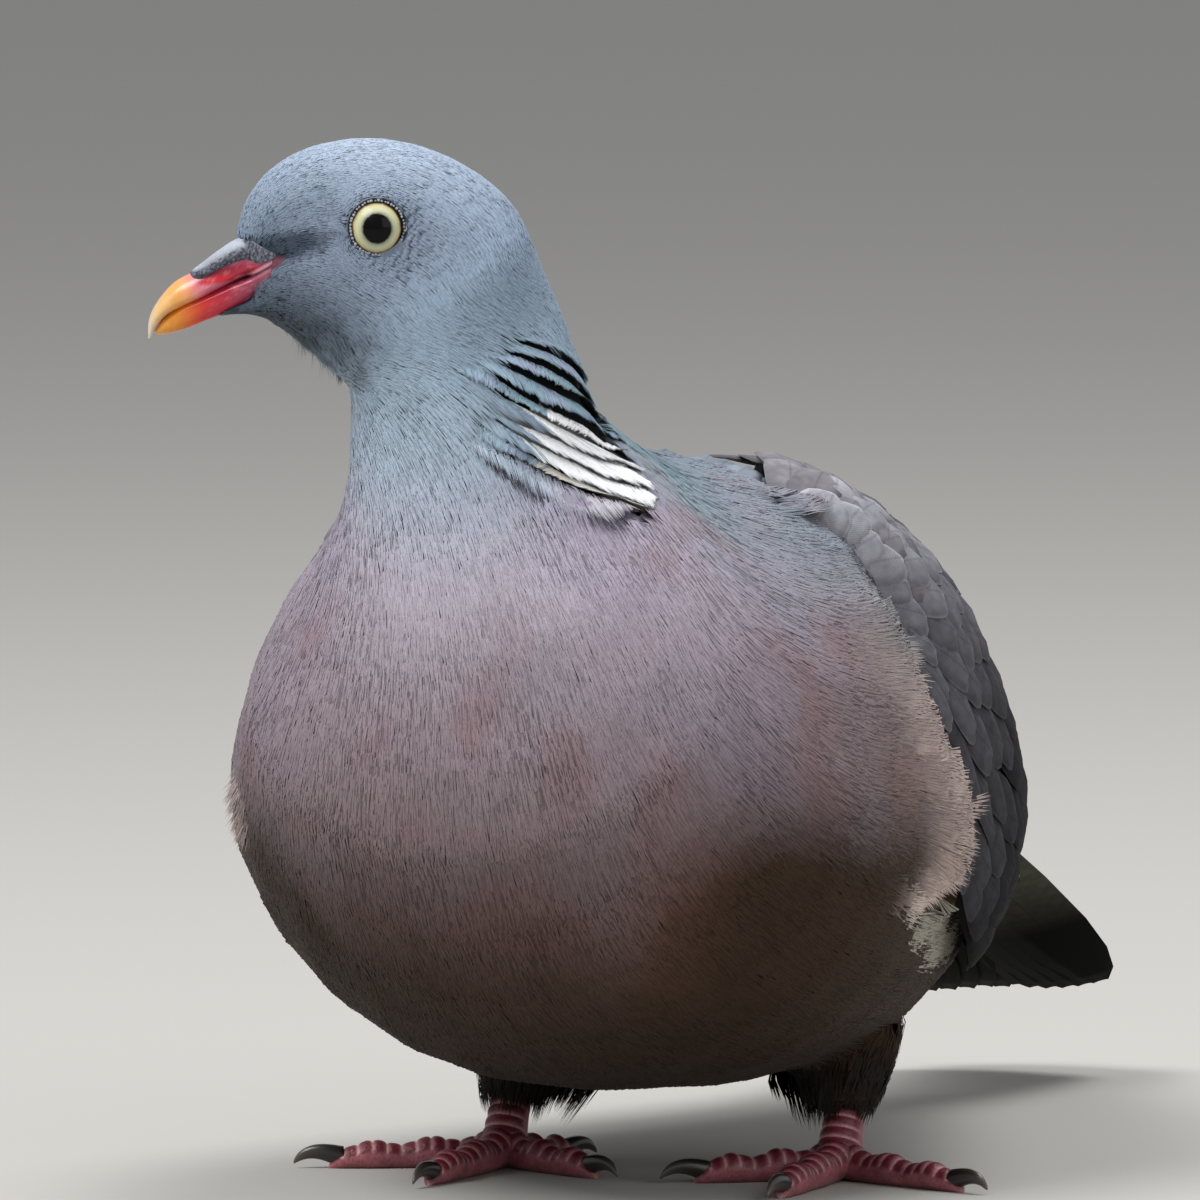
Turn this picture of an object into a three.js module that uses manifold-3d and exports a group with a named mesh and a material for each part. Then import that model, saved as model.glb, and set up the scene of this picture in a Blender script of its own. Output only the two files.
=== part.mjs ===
// A common wood pigeon (Columba palumbus) as a still, life-size model: a plump bird standing on
// both feet, its head turned to its right. Millimetres, +Z up. The bird faces -Y, so its left
// wing is at +X and its tail runs out along +Y. The floor under its toes is z = 0.
import * as THREE from "three";
import { mergeVertices } from "three/addons/utils/BufferGeometryUtils.js";
import Module from "manifold-3d";

const wasm = await Module();
wasm.setup();

// ---------------------------------------------------------------- driving sizes
const gap = 0.35; // clearance between neighbouring parts
const frameShift = new THREE.Vector3(-2.5, -60.6, 0); // sets the origin under the middle of the whole bird
const skull = { x: -19, y: -60, z: 162, yaw: -66 }; // centre of the head, and its turn to the bird's right
const eye = { radius: 6, back: -1.4, up: 0, sunk: 4.2, side: 12.9 };
const lid = { ring: 4.4, tube: 0.7 };
const gape = { back: -17.6, up: -7.6, slope: 34, long: 8, wide: 0.9, deep: 1.4 }; // the corner of the mouth
const nostril = { back: -25.8, up: -9.3, slope: 10, long: 6.4, wide: 0.8, deep: 1 };
const rumpCut = { y: 99, z: 64, slope: 20 }; // where the tail begins
const neckCut = { y: -50, z: 126, lean: 26 }; // where the neck leaves the breast
const headCut = { back: 8, up: -15, lean: 42 }; // where the head leaves the neck
const tailLength = 115;
const tailSlope = 24.8; // degrees below level
const feet = {
  left: { x: 34.5, y: 14, sign: 1, spread: 1 },
  right: { x: -25, y: 14, sign: -1, spread: 1.05 },
};

const degrees = Math.PI / 180;
const vector = (x, y, z) => new THREE.Vector3(x, y, z);

// ---------------------------------------------------------------- solids from three.js geometry
// A closed geometry as a manifold solid that faces outwards, whichever way it was bent.
function solidOf(geometry) {
  const bare = new THREE.BufferGeometry();
  bare.setAttribute("position", geometry.getAttribute("position"));
  bare.setIndex(geometry.index);
  const merged = mergeVertices(bare, 1e-4);
  const corners = merged.index.array;
  const kept = [];
  for (let i = 0; i < corners.length; i += 3) {
    const [a, b, c] = [corners[i], corners[i + 1], corners[i + 2]];
    if (a !== b && b !== c && c !== a) kept.push(a, b, c);
  }
  const build = (triVerts) =>
    new wasm.Manifold(
      new wasm.Mesh({
        numProp: 3,
        vertProperties: merged.attributes.position.array,
        triVerts: new Uint32Array(triVerts),
      }),
    );
  const made = build(kept);
  return made.volume() > 0 ? made : build(kept.reverse());
}

function geometryOf(solid) {
  const { numProp, vertProperties, numVert, triVerts } = solid.getMesh();
  const places = new Float32Array(numVert * 3);
  for (let i = 0; i < numVert; i++) places.set(vertProperties.subarray(i * numProp, i * numProp + 3), i * 3);
  const geometry = new THREE.BufferGeometry();
  geometry.setAttribute("position", new THREE.BufferAttribute(places, 3));
  geometry.setIndex(new THREE.BufferAttribute(triVerts, 1));
  return geometry;
}

function largest(solid) {
  return solid.decompose().reduce((most, one) => (one.volume() > most.volume() ? one : most));
}

// All of space on the side of a plane that its normal points to.
function halfSpace(point, normal) {
  const reach = 900;
  const box = new THREE.BoxGeometry(reach, reach, reach).translate(0, 0, reach / 2);
  const turn = new THREE.Quaternion().setFromUnitVectors(vector(0, 0, 1), normal.clone().normalize());
  box.applyQuaternion(turn).translate(point.x, point.y, point.z);
  return solidOf(box);
}

// A closed limb: place(along, angle, out) gives each point, along 0..1 and out 0 on the axis, 1 on the skin.
// The two faces of a thin one are split into triangles alike, so that they never cross.
function limb(rings, sides, place, thin = false) {
  const geometry = new THREE.CylinderGeometry(1, 1, 1, sides, rings);
  const corners = geometry.index;
  const firstBelow = thin ? (sides / 2) * rings * 6 : Infinity;
  for (let i = firstBelow; i < sides * rings * 6; i += 6) {
    const [a, b, c, d] = [0, 1, 4, 2].map((k) => corners.getX(i + k));
    [a, b, c, a, c, d].forEach((corner, k) => corners.setX(i + k, corner));
  }
  const points = geometry.getAttribute("position");
  const point = vector(0, 0, 0);
  for (let i = 0; i < points.count; i++) {
    point.fromBufferAttribute(points, i);
    const out = Math.min(1, Math.round(Math.hypot(point.x, point.z)));
    const made = place(0.5 - point.y, Math.atan2(point.z, point.x), out);
    points.setXYZ(i, made.x, made.y, made.z);
  }
  return solidOf(geometry);
}

// The value of a table of rows at a fractional row number, on a smooth curve through the rows.
function smooth(rows, at) {
  const i = Math.max(0, Math.min(rows.length - 2, Math.floor(at)));
  const t = at - i;
  const row = (k) => rows[Math.max(0, Math.min(rows.length - 1, k))];
  return row(i).map((_, k) => {
    const [a, b, c, d] = [row(i - 1)[k], row(i)[k], row(i + 1)[k], row(i + 2)[k]];
    return b + 0.5 * t * (c - a + t * (2 * a - 5 * b + 4 * c - d + t * (3 * (b - c) + d - a)));
  });
}

// A rounded section between a top and a bottom point, widest part way up, at an angle round it.
function sectionPoint({ top, bottom, across, half, widest, above, below }, angle, out) {
  const rise = top.clone().sub(bottom);
  const [c, s] = [Math.cos(angle), Math.sin(angle)];
  const power = 2 / (s > 0 ? above : below);
  const side = half * Math.sign(c) * Math.abs(c) ** power;
  const up = (s > 0 ? 1 - widest : widest) * Math.sign(s) * Math.abs(s) ** power;
  return bottom
    .clone()
    .addScaledVector(rise, widest + out * up)
    .addScaledVector(across, out * side);
}

// ---------------------------------------------------------------- the body's own line
// A point on the middle plane of the turned head: back from the skull's centre, and up from it.
function onHead(back, up, turn = skull.yaw) {
  const yaw = turn * degrees;
  return [skull.x - Math.sin(yaw) * back, skull.y + Math.cos(yaw) * back, skull.z + up];
}

// One section each: turn about Z, the top or back point, the bottom or breast point, half width,
// how far up it is widest, and how square it is above and below that. They run from the tail,
// through the body and up the neck, to the base of the bill.
const bodyLine = [
  [0, [0, 160, 38.4], [0, 158, 35.2], 18, 0.5, 2, 2],
  [0, [0, 134, 55], [0, 130, 43], 23.5, 0.5, 2, 2],
  [0, [0, 104, 75], [0, 100, 50], 29, 0.5, 2, 2],
  [0, [0, 84, 88], [0, 80, 37], 35.5, 0.48, 2.1, 2],
  [0, [0, 60, 100], [0, 56, 21.5], 46, 0.46, 2.1, 2.5],
  [0, [0, 37, 111], [0, 33, 15.5], 52.5, 0.45, 2.2, 2.5],
  [0, [0, 14, 119], [0, 9, 14.8], 56, 0.44, 2.4, 2.45],
  [0, [0, -6, 122.4], [0, -16, 16.5], 57.8, 0.43, 2.5, 2.2],
  [0, [0, -17, 124.2], [0, -43, 24.8], 56, 0.41, 2.35, 1.85],
  [0, [0, -23, 125.5], [0, -67, 39], 49.5, 0.42, 2.15, 1.81],
  [0, [-0.5, -26, 127], [0, -83, 61], 41, 0.42, 2, 2],
  [-2, [-2, -28, 130.5], [-1.5, -82, 88], 29.5, 0.44, 2, 2],
  [-8, [-4.5, -30, 135], [-6.5, -74.5, 109], 22, 0.48, 2, 2],
  [-22, [-2.5, -32, 142], [-12.5, -71, 125], 20.5, 0.5, 2, 2],
  [-44, [0.5, -36, 150], [-19.5, -68, 135], 19.6, 0.5, 2, 2],
  [-62, onHead(25, -3.6), onHead(-8.3, -24.5), 17.6, 0.52, 2, 2],
  [-66, onHead(22, 3), onHead(-10.5, -22), 16, 0.52, 2.05, 2.05],
  [-66, onHead(16.5, 8), onHead(-12.5, -20.3), 14.8, 0.5, 2.1, 2.1],
  [-66, onHead(8.5, 12.3), onHead(-14, -19), 13.7, 0.5, 2.15, 2.15],
  [-66, onHead(-1, 14.2), onHead(-15.5, -18), 12.5, 0.5, 2.2, 2.2],
  [-66, onHead(-10.4, 13.2), onHead(-16.8, -17.2), 11, 0.5, 2.15, 2.15],
  [-66, onHead(-17.9, 9.5), onHead(-17.8, -16.5), 9.2, 0.48, 2.1, 2.1],
  [-66, onHead(-22.7, 3.3), onHead(-18.9, -15.8), 6.8, 0.46, 2, 2],
  [-66, onHead(-23.8, -2.8), onHead(-19.8, -14.6), 4.8, 0.46, 2, 2],
].map(([yaw, top, bottom, ...rest]) => [yaw, ...top, ...bottom, ...rest]);
const rumpRow = 1.6; // the row where the body's own solid begins, inside the tail
const lastRow = bodyLine.length - 1;

function bodySection(at) {
  const [yaw, tx, ty, tz, bx, by, bz, half, widest, above, below] = smooth(bodyLine, at);
  const across = vector(Math.cos(yaw * degrees), Math.sin(yaw * degrees), 0);
  return { top: vector(tx, ty, tz), bottom: vector(bx, by, bz), across, half, widest, above, below };
}

// A point on the body's surface, lifted off it along the outward normal. Angle 0 is the bird's left side,
// and 90 its back.
function bodyPoint(at, angle, lift = 0, out = 1) {
  const point = sectionPoint(bodySection(at), angle, out);
  if (!lift || !out) return point;
  const skin = (row, turn) => sectionPoint(bodySection(row), turn, 1);
  const step = 0.02;
  const along = skin(at + step, angle).sub(skin(at - step, angle));
  const round = skin(at, angle + step).sub(skin(at, angle - step));
  return point.addScaledVector(round.cross(along).normalize(), lift);
}

function bodyLoft(from, to, rings, sides, lift = 0) {
  return limb(rings, sides, (along, angle, out) => bodyPoint(from + (to - from) * along, angle, lift, out));
}

// ---------------------------------------------------------------- materials
const finish = (color, roughness) => new THREE.MeshStandardMaterial({ color, roughness, metalness: 0 });
const slate = finish(0x93a2b4, 0.75);
const mauve = finish(0x9a8d98, 0.8);
const dusk = finish(0x6b6a70, 0.75);
const quill = finish(0x3a3b40, 0.6);
const horn = finish(0xe0a057, 0.4);
const crimson = finish(0x9c3a4d, 0.55);
const clawHorn = finish(0x2c2724, 0.4);
const iris = finish(0xd9d7a8, 0.1);

const pigeon = new THREE.Group();
pigeon.position.copy(frameShift);
function part(name, solid, material, group = pigeon) {
  const mesh = new THREE.Mesh(geometryOf(largest(solid)), material);
  mesh.name = name;
  group.add(mesh);
  return solid;
}

// ---------------------------------------------------------------- torso, neck and head
const rumpNormal = vector(0, Math.cos(rumpCut.slope * degrees), -Math.sin(rumpCut.slope * degrees));
const rumpPoint = vector(0, rumpCut.y, rumpCut.z);
const neckNormal = vector(0, -Math.sin(neckCut.lean * degrees), Math.cos(neckCut.lean * degrees));
const neckPoint = vector(0, neckCut.y, neckCut.z);
const headPoint = vector(...onHead(headCut.back, headCut.up));
const headNormal = vector(...onHead(-Math.sin(headCut.lean * degrees), Math.cos(headCut.lean * degrees))).sub(
  vector(...onHead(0, 0)),
);

// The two sides of a plane, a gap apart.
function parted(solid, point, normal) {
  const beyond = point.clone().addScaledVector(normal, gap / normal.length());
  return [
    solid.intersect(halfSpace(point, normal.clone().negate())),
    solid.intersect(halfSpace(beyond, normal)),
  ];
}

const bodyRings = 36;
const bodySides = 24;
const whole = bodyLoft(rumpRow, lastRow, bodyRings, bodySides);
const bodyClearance = bodyLoft(rumpRow, lastRow, bodyRings, bodySides, gap);
const [trunk] = parted(whole, rumpPoint, rumpNormal);
const [torso, neckAndHead] = parted(trunk, neckPoint, neckNormal);
const [neck, bareHead] = parted(neckAndHead, headPoint, headNormal);

// An eye's centre: level with the middle of the head, sunk in its side.
function eyeCentre(side) {
  const yaw = skull.yaw * degrees;
  const [x, y, z] = onHead(eye.back, eye.up);
  const out = side * (eye.side - eye.sunk);
  return vector(x + Math.cos(yaw) * out, y + Math.sin(yaw) * out, z);
}

function eyeBall(side, radius) {
  const centre = eyeCentre(side);
  return solidOf(new THREE.SphereGeometry(radius, 14, 8).translate(centre.x, centre.y, centre.z));
}

// The ring of bare skin round an eye, set where the ball comes out of the head.
function lidRing(side) {
  const ring = new THREE.TorusGeometry(lid.ring, lid.tube, 4, 14);
  ring.rotateY(Math.PI / 2).translate(side * (eye.sunk - 0.1), 0, 0).rotateZ(skull.yaw * degrees);
  const centre = eyeCentre(side);
  return solidOf(ring.translate(centre.x, centre.y, centre.z));
}

// A slit across both sides of the head or the bill: narrow, pointed at both ends, and shallow.
function slit({ back, up, slope, long, wide }, inside) {
  const blade = new THREE.CylinderGeometry(1, 1, 60, 4).rotateZ(Math.PI / 2);
  blade.scale(1, long / 2, wide / 2).rotateX(slope * degrees).rotateZ(skull.yaw * degrees);
  return solidOf(blade.translate(...onHead(back, up))).subtract(inside);
}

let head = bareHead;
for (const side of [1, -1]) head = head.add(lidRing(side));
for (const side of [1, -1]) head = head.subtract(eyeBall(side, eye.radius + gap));
head = head.subtract(slit(gape, bodyLoft(14, lastRow, 12, bodySides, -gape.deep)));

part("torso", torso, mauve);
part("neck", neck, slate);
part("head", head, slate);
part("eye_left", eyeBall(1, eye.radius), iris);
part("eye_right", eyeBall(-1, eye.radius), iris);

// ---------------------------------------------------------------- bill
// Rows: the upper edge and the lower edge on the head's middle plane, half width, widest, squareness.
const upperBill = [
  [[-24.6, -3.3], [-22.2, -9.6], 4.5, 0.3, 2.2],
  [[-27.5, -5.4], [-25.4, -11.3], 4.4, 0.3, 2.2],
  [[-31, -7.8], [-29.2, -13.2], 3.8, 0.3, 2.2],
  [[-34, -9.6], [-32.2, -14.6], 3.3, 0.35, 2.2],
  [[-36.6, -12.6], [-34.9, -15.8], 2.6, 0.4, 2],
  [[-38, -15.6], [-36.8, -17.4], 1.5, 0.5, 2],
  [[-38.1, -18.8], [-37.8, -18.6], 0.35, 0.5, 2],
];
const lowerBill = [
  [[-22.1, -9.95], [-20.6, -13.8], 4.2, 0.7, 2.2],
  [[-25.3, -11.65], [-24.2, -14.9], 3.8, 0.7, 2.2],
  [[-29.1, -13.55], [-28.2, -16], 3.1, 0.7, 2.2],
  [[-32.5, -14.95], [-31.9, -17.3], 2.5, 0.7, 2],
  [[-35.4, -16.5], [-35.1, -18], 1.7, 0.6, 2],
  [[-37, -17.75], [-36.9, -18.1], 0.6, 0.5, 2],
];

function mandible(rows, rings, extra = 0) {
  const flat = rows.map(([top, bottom, ...rest]) => [...top, ...bottom, ...rest]);
  const across = vector(Math.cos(skull.yaw * degrees), Math.sin(skull.yaw * degrees), 0);
  return limb(rings, 12, (along, angle, out) => {
    const [tb, tu, bb, bu, half, widest, round] = smooth(flat, along * (rows.length - 1));
    const [top, bottom] = [vector(...onHead(tb, tu)), vector(...onHead(bb, bu))];
    const rise = top.clone().sub(bottom).setLength(extra);
    top.add(rise);
    bottom.sub(rise);
    const section = { top, bottom, across, half: half + extra, widest, above: round, below: round };
    return sectionPoint(section, angle, out);
  });
}

// The cere: the soft swelling that saddles the root of the upper bill, over the nostrils.
const cereRows = [
  [[-23.4, -2.6], [-22.9, -7.2], 5.1, 0.4, 2],
  [[-26.6, -4.4], [-25.9, -8.6], 5.5, 0.35, 2],
  [[-29.6, -6.1], [-28.7, -9.8], 4.8, 0.35, 2],
  [[-31.9, -7.9], [-31.2, -10.6], 3.6, 0.4, 2],
];
const nostrils = slit(nostril, mandible(upperBill, 9, -nostril.deep));
part("bill_upper", mandible(upperBill, 9).subtract(nostrils), horn);
part("bill_lower", mandible(lowerBill, 8), horn);
const cereTrim = mandible(upperBill, 9, gap).add(bodyClearance).add(nostrils);
part("cere", mandible(cereRows, 6).subtract(cereTrim), dusk);

// ---------------------------------------------------------------- feathers
// One feather: a thin vane, highest along its shaft, that rises out of what it grows from to a rounded tip.
const vaneThick = 1;
const vaneStations = [0, 0.5, 0.86, 1];
const vaneWidths = [0.66, 1, 0.86, 0.26];
const vaneSteps = vaneStations.length - 1;
function vane({ from, to, half, root, tip, tilt }, place) {
  return limb(
    vaneSteps,
    4,
    (along, angle, out) => {
      const station = Math.round(along * vaneSteps);
      const share = vaneStations[station];
      const across = Math.cos(angle) * out * half * vaneWidths[station];
      const thick = (vaneThick / 2) * (1 - 0.55 * share ** 3);
      const lift = root + (tip - root) * share ** 0.8 + tilt * across + Math.sin(angle) * out * thick;
      return place(from[0] + (to[0] - from[0]) * share, from[1] + (to[1] - from[1]) * share, across, lift);
    },
    true,
  );
}

// The same run of draws for every build, each between -0.5 and 0.5.
function drawsFrom(seed) {
  let state = seed;
  return () => {
    state = (state * 48271) % 2147483647;
    return state / 2147483647 - 0.5;
  };
}

// ---------------------------------------------------------------- tail
// Twelve tail feathers in a narrow fan, each tucked under the edge of the one nearer the middle. They come
// out of the wedge that goes on from the rump, which carries a tier of coverts above and one below.
const fan = { pairs: 6, base: 12, tip: 18.6, half: 7.4, tilt: 0.19, drop: 0.45, rounding: 0.05, arch: 0.004 };
const tailCoverts = [
  { count: 4, from: 2.3, tip: 0.35, middle: 90, spread: 50, half: 7.5, lift: 1 },
  { count: 5, from: 2.3, tip: 0.1, middle: -90, spread: 58, half: 7.2, lift: 1 },
];

// A point of the tail: share of its length, mm to the side, and mm of lift.
function tailPoint(along, aside, lift) {
  const slope = tailSlope * degrees;
  const reach = along * tailLength;
  const start = vector(0, rumpCut.y + 2, rumpCut.z - 0.5);
  const up = lift - fan.arch * aside * aside;
  return vector(
    aside,
    start.y + Math.cos(slope) * reach + Math.sin(slope) * up,
    start.z - Math.sin(slope) * reach + Math.cos(slope) * up,
  );
}

// The left one of the middle pair lies flat on the right one, and the others lean down towards them.
function tailFeather(side, k) {
  const place = (k + 0.5) / fan.pairs;
  const under = fan.drop * k + (side < 0 ? 0.9 * Math.max(0, 1 - k) : 0);
  const feather = {
    from: [0.02, side * place * fan.base],
    to: [1 - fan.rounding * place * place, side * place * fan.tip],
    half: fan.half,
    root: -under,
    tip: -under,
    tilt: 0,
  };
  const lean = k ? fan.tilt * side : 0;
  return vane(feather, (along, aside, across, up) => tailPoint(along, aside + across, up + lean * across));
}

// A covert on the wedge: it runs from one row of the body's line to another at one angle round it.
function tailCovert({ from, tip, middle, half, lift }, turn) {
  const angle = (middle + turn) * degrees;
  const feather = { from: [from, angle], to: [tip, angle], half, root: -1.4, tip: lift, tilt: 0.03 };
  return vane(feather, (row, at, across, up) => {
    const { half: wide, top, bottom } = bodySection(row);
    const round = Math.hypot(wide * Math.sin(at), (top.distanceTo(bottom) / 2) * Math.cos(at));
    return bodyPoint(row, at + across / round, up);
  });
}

let tailBody = bodyLoft(0, 3, 6, 16);
for (let k = fan.pairs - 1; k >= 0; k--) {
  for (const side of [1, -1]) tailBody = tailBody.add(tailFeather(side, k));
}
for (const tier of tailCoverts) {
  for (let i = 0; i < tier.count; i++) {
    const turn = tier.spread * ((2 * i) / (tier.count - 1) - 1);
    tailBody = tailBody.add(tailCovert(tier, turn));
  }
}
part("tail", parted(tailBody, rumpPoint, rumpNormal)[1], quill);

// What the wings keep out of: the wedge with its coverts, and the fan with a gap over it.
const fanRoom = limb(1, 4, (along, angle, out) => {
  const [aside, rise] = [Math.sign(Math.cos(angle + 0.1)), Math.sign(Math.sin(angle + 0.1))];
  return tailPoint(along, out * aside * (fan.tip + fan.half + 3), out * (rise > 0 ? 2.1 : -8));
});
const tailRoom = bodyLoft(0, 3, 6, 16, 2.2).add(fanRoom);

// ---------------------------------------------------------------- legs, toes and claws
const pad = { radius: 5.2, up: 4.4 };
const shank = { foot: 3.1, top: 3.6, length: 14, lean: 26, scutes: 4 };
const level = halfSpace(vector(0, 0, 0), vector(0, 0, 1));
const scuteHigh = 0.55; // how far a scute's raised edge stands over the next one
// Heading in degrees from straight ahead, outwards from the body; bone length, claw length, thickness, and
// how many scutes lie along the top.
const toeKinds = {
  hind: { heading: -155, long: 13, claw: 7, thick: 2.5, scutes: 4 },
  inner: { heading: -55, long: 22, claw: 7, thick: 2.6, scutes: 5 },
  middle: { heading: 2, long: 30, claw: 8, thick: 2.8, scutes: 7 },
  outer: { heading: 63, long: 26.5, claw: 7, thick: 2.5, scutes: 6 },
};

function headingOf(foot, kind) {
  const spread = Math.abs(kind.heading) < 90 ? foot.spread : 1;
  return kind.heading * spread * foot.sign * degrees;
}

function shankSolid(foot, extra) {
  const lean = shank.lean * degrees;
  const start = vector(foot.x, foot.y, pad.up);
  const ball = new THREE.SphereGeometry(pad.radius + extra, 12, 8).translate(start.x, start.y, start.z);
  const steps = 2 * shank.scutes;
  const bone = limb(steps, 8, (share, angle, out) => {
    const plate = Math.round(share * steps) % 2;
    const along = Math.min(1, share - (0.45 * plate) / steps);
    const reach = along * (shank.length + extra);
    const raised = Math.sin(angle) < 0 ? scuteHigh * plate : 0;
    const radius = out * (shank.foot + (shank.top - shank.foot) * along + extra + raised);
    const [c, s] = [Math.cos(angle) * radius, Math.sin(angle) * radius];
    return vector(
      start.x + c,
      start.y + Math.sin(lean) * reach + Math.cos(lean) * s,
      start.z + Math.cos(lean) * reach - Math.sin(lean) * s,
    );
  });
  return solidOf(ball).add(bone).intersect(level).subtract(extra ? torso : bodyClearance);
}

// A toe as a tube that lies along the floor; its low side is cut flat by the floor, and along its top lie
// scutes, each with a raised edge at the body's end that slopes down to the next one.
function toeSolid(foot, kind, extra) {
  const heading = headingOf(foot, kind);
  const ahead = vector(Math.sin(heading), -Math.cos(heading), 0);
  const across = vector(Math.cos(heading), Math.sin(heading), 0);
  const length = kind.long + pad.radius * 0.6 + extra;
  const steps = 2 * kind.scutes;
  return limb(steps, 8, (share, angle, out) => {
    const step = Math.round(share * steps);
    const plate = step % 2;
    const along = Math.min(1, (step - 0.45 * plate) / steps);
    const taper = 1.25 - 0.4 * along + 0.08 * Math.sin(along * 6 * Math.PI);
    const bare = kind.thick * Math.min(taper, 4 * (1.03 - along) + 0.3) + extra;
    const radius = bare + (Math.sin(angle) > 0.3 && !extra ? scuteHigh * (plate - 0.5) : 0);
    const up = bare - 0.4 - 2 * extra + 3 * Math.max(0, 0.35 - along) ** 1.5;
    return vector(foot.x, foot.y, up + Math.sin(angle) * out * radius)
      .addScaledVector(ahead, along * length)
      .addScaledVector(across, Math.cos(angle) * out * radius);
  }).intersect(extra ? level.translate([0, 0, -1]) : level);
}

// A claw: a curved, tapering horn that leaves the toe's end level and bends down to the floor.
function clawSolid(foot, kind) {
  const heading = headingOf(foot, kind);
  const ahead = vector(Math.sin(heading), -Math.cos(heading), 0);
  const across = vector(Math.cos(heading), Math.sin(heading), 0);
  const root = kind.long + pad.radius * 0.6 - 2.2;
  const high = kind.thick * 0.78;
  return limb(5, 6, (along, angle, out) => {
    const bend = along * 70 * degrees;
    const radius = (1.5 - 1.25 * along) * out;
    const [c, s] = [Math.cos(angle) * radius, Math.sin(angle) * radius * 1.15];
    const reach = root + (kind.claw + 2) * Math.sin(bend) * 0.95;
    const drop = high + 1.2 * Math.sin(Math.PI * along) - (high - 0.9) * along * along;
    return vector(foot.x, foot.y, drop + s * Math.cos(bend * 0.6))
      .addScaledVector(ahead, reach + s * Math.sin(bend * 0.6))
      .addScaledVector(across, c);
  }).intersect(level);
}

// The feathered shin: a short blunt cone that hangs from the belly round the top of the shank.
const shin = { up: 11, high: 36, foot: 5.2, top: 11 };
function shinSolid(foot, extra) {
  const lean = shank.lean * degrees;
  return limb(5, 12, (along, angle, out) => {
    const z = shin.up + (shin.high - shin.up) * along;
    const radius = out * (shin.foot + (shin.top - shin.foot) * Math.sqrt(along) + extra);
    const drift = (z - pad.up) * Math.tan(lean);
    const x = foot.x - foot.sign * 3 * along + Math.cos(angle) * radius;
    return vector(x, foot.y + drift + Math.sin(angle) * radius, z);
  }).subtract(extra ? torso : bodyClearance.add(shankSolid(foot, gap)));
}

const shinClearances = [];
for (const [side, foot] of Object.entries(feet)) {
  part("shin_" + side, shinSolid(foot, 0), mauve);
  shinClearances.push(shinSolid(foot, gap));
  const clearance = shankSolid(foot, gap);
  part("shank_" + side, shankSolid(foot, 0), crimson);
  let taken = clearance;
  for (const name of ["middle", "inner", "outer", "hind"]) {
    const kind = toeKinds[name];
    const toe = toeSolid(foot, kind, 0).subtract(taken).subtract(clawClearance(foot, kind));
    part(`toe_${name}_${side}`, toe, crimson);
    part(`claw_${name}_${side}`, clawSolid(foot, kind).subtract(clawTrim(foot, kind)), clawHorn);
    taken = taken.add(toeSolid(foot, kind, gap));
  }
}

// The toe is cut square where its claw begins, and the claw keeps to the far side of that cut.
function clawPlane(foot, kind) {
  const heading = headingOf(foot, kind);
  const ahead = vector(Math.sin(heading), -Math.cos(heading), 0);
  const reach = kind.long + pad.radius * 0.6 - 1;
  return { point: vector(foot.x, foot.y, 0).addScaledVector(ahead, reach), ahead };
}
function clawClearance(foot, kind) {
  const { point, ahead } = clawPlane(foot, kind);
  return halfSpace(point, ahead);
}
function clawTrim(foot, kind) {
  const { point, ahead } = clawPlane(foot, kind);
  return halfSpace(point.addScaledVector(ahead, gap), ahead.clone().negate());
}

// ---------------------------------------------------------------- wings
// The folded wing's outer surface, from the bend of the wing to its tip: the top point's y and z, the low
// point's y and z, half width, widest, squareness above and below, the angles of its top and low edges,
// and how deep its core reaches under the surface.
const wingLine = [
  [-14, 123.6, -2, 20, 57.6, 0.43, 2.75, 2.1, 56, 10, 6],
  [-3, 124.2, 9, 17, 61.2, 0.43, 2.8, 2.2, 68, -14, 7],
  [11, 122.8, 23, 15, 61.4, 0.44, 2.55, 2.3, 76, -26, 8],
  [27, 119, 38, 15, 59.4, 0.45, 2.25, 2.2, 80, -33, 8],
  [45, 112, 55, 18, 54.2, 0.46, 2, 2.1, 81, -36, 8],
  [64, 103.5, 74, 23, 48, 0.46, 2, 2, 81, -37, 8],
  [84, 92.5, 94, 29, 40.6, 0.46, 2, 2, 81, -38, 6],
  [106, 79.5, 114, 33, 32.5, 0.46, 2, 2, 78, -38, 4],
  [128, 66, 134, 35.5, 24.5, 0.46, 2, 2, 73, -38, 2.8],
  [150, 53.5, 154, 38, 16.5, 0.46, 2, 2, 64, -30, 2],
  [166, 46, 168, 41, 10, 0.5, 2, 2, 50, -10, 1.4],
];
const wingEnd = wingLine.length - 1;

function foldedSection(row, down) {
  const [yTop, zTop, yLow, zLow, half, widest, above, below, top, low] = smooth(wingLine, row);
  const angle = (top + (low - top) * down) * degrees;
  const section = { top: vector(0, yTop, zTop), bottom: vector(0, yLow, zLow), across: vector(1, 0, 0) };
  return sectionPoint({ ...section, half, widest, above, below }, angle, 1);
}

// A point of the folded left wing: row along the table above, down 0 at its top edge and 1 at its low edge.
function foldedPoint(row, down, lift) {
  const step = 0.02;
  const back = foldedSection(row + step, down).sub(foldedSection(row - step, down));
  const round = foldedSection(row, down + step).sub(foldedSection(row, down - step));
  return foldedSection(row, down).addScaledVector(round.cross(back).normalize(), lift);
}

function wingVane(side, feather) {
  return vane(feather, (row, down, across, lift) => {
    const step = 0.02;
    const spread = foldedSection(row, down + step).distanceTo(foldedSection(row, down - step)) / (2 * step);
    const point = foldedPoint(row, down + across / spread, lift);
    point.x *= side;
    return point;
  });
}

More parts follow.
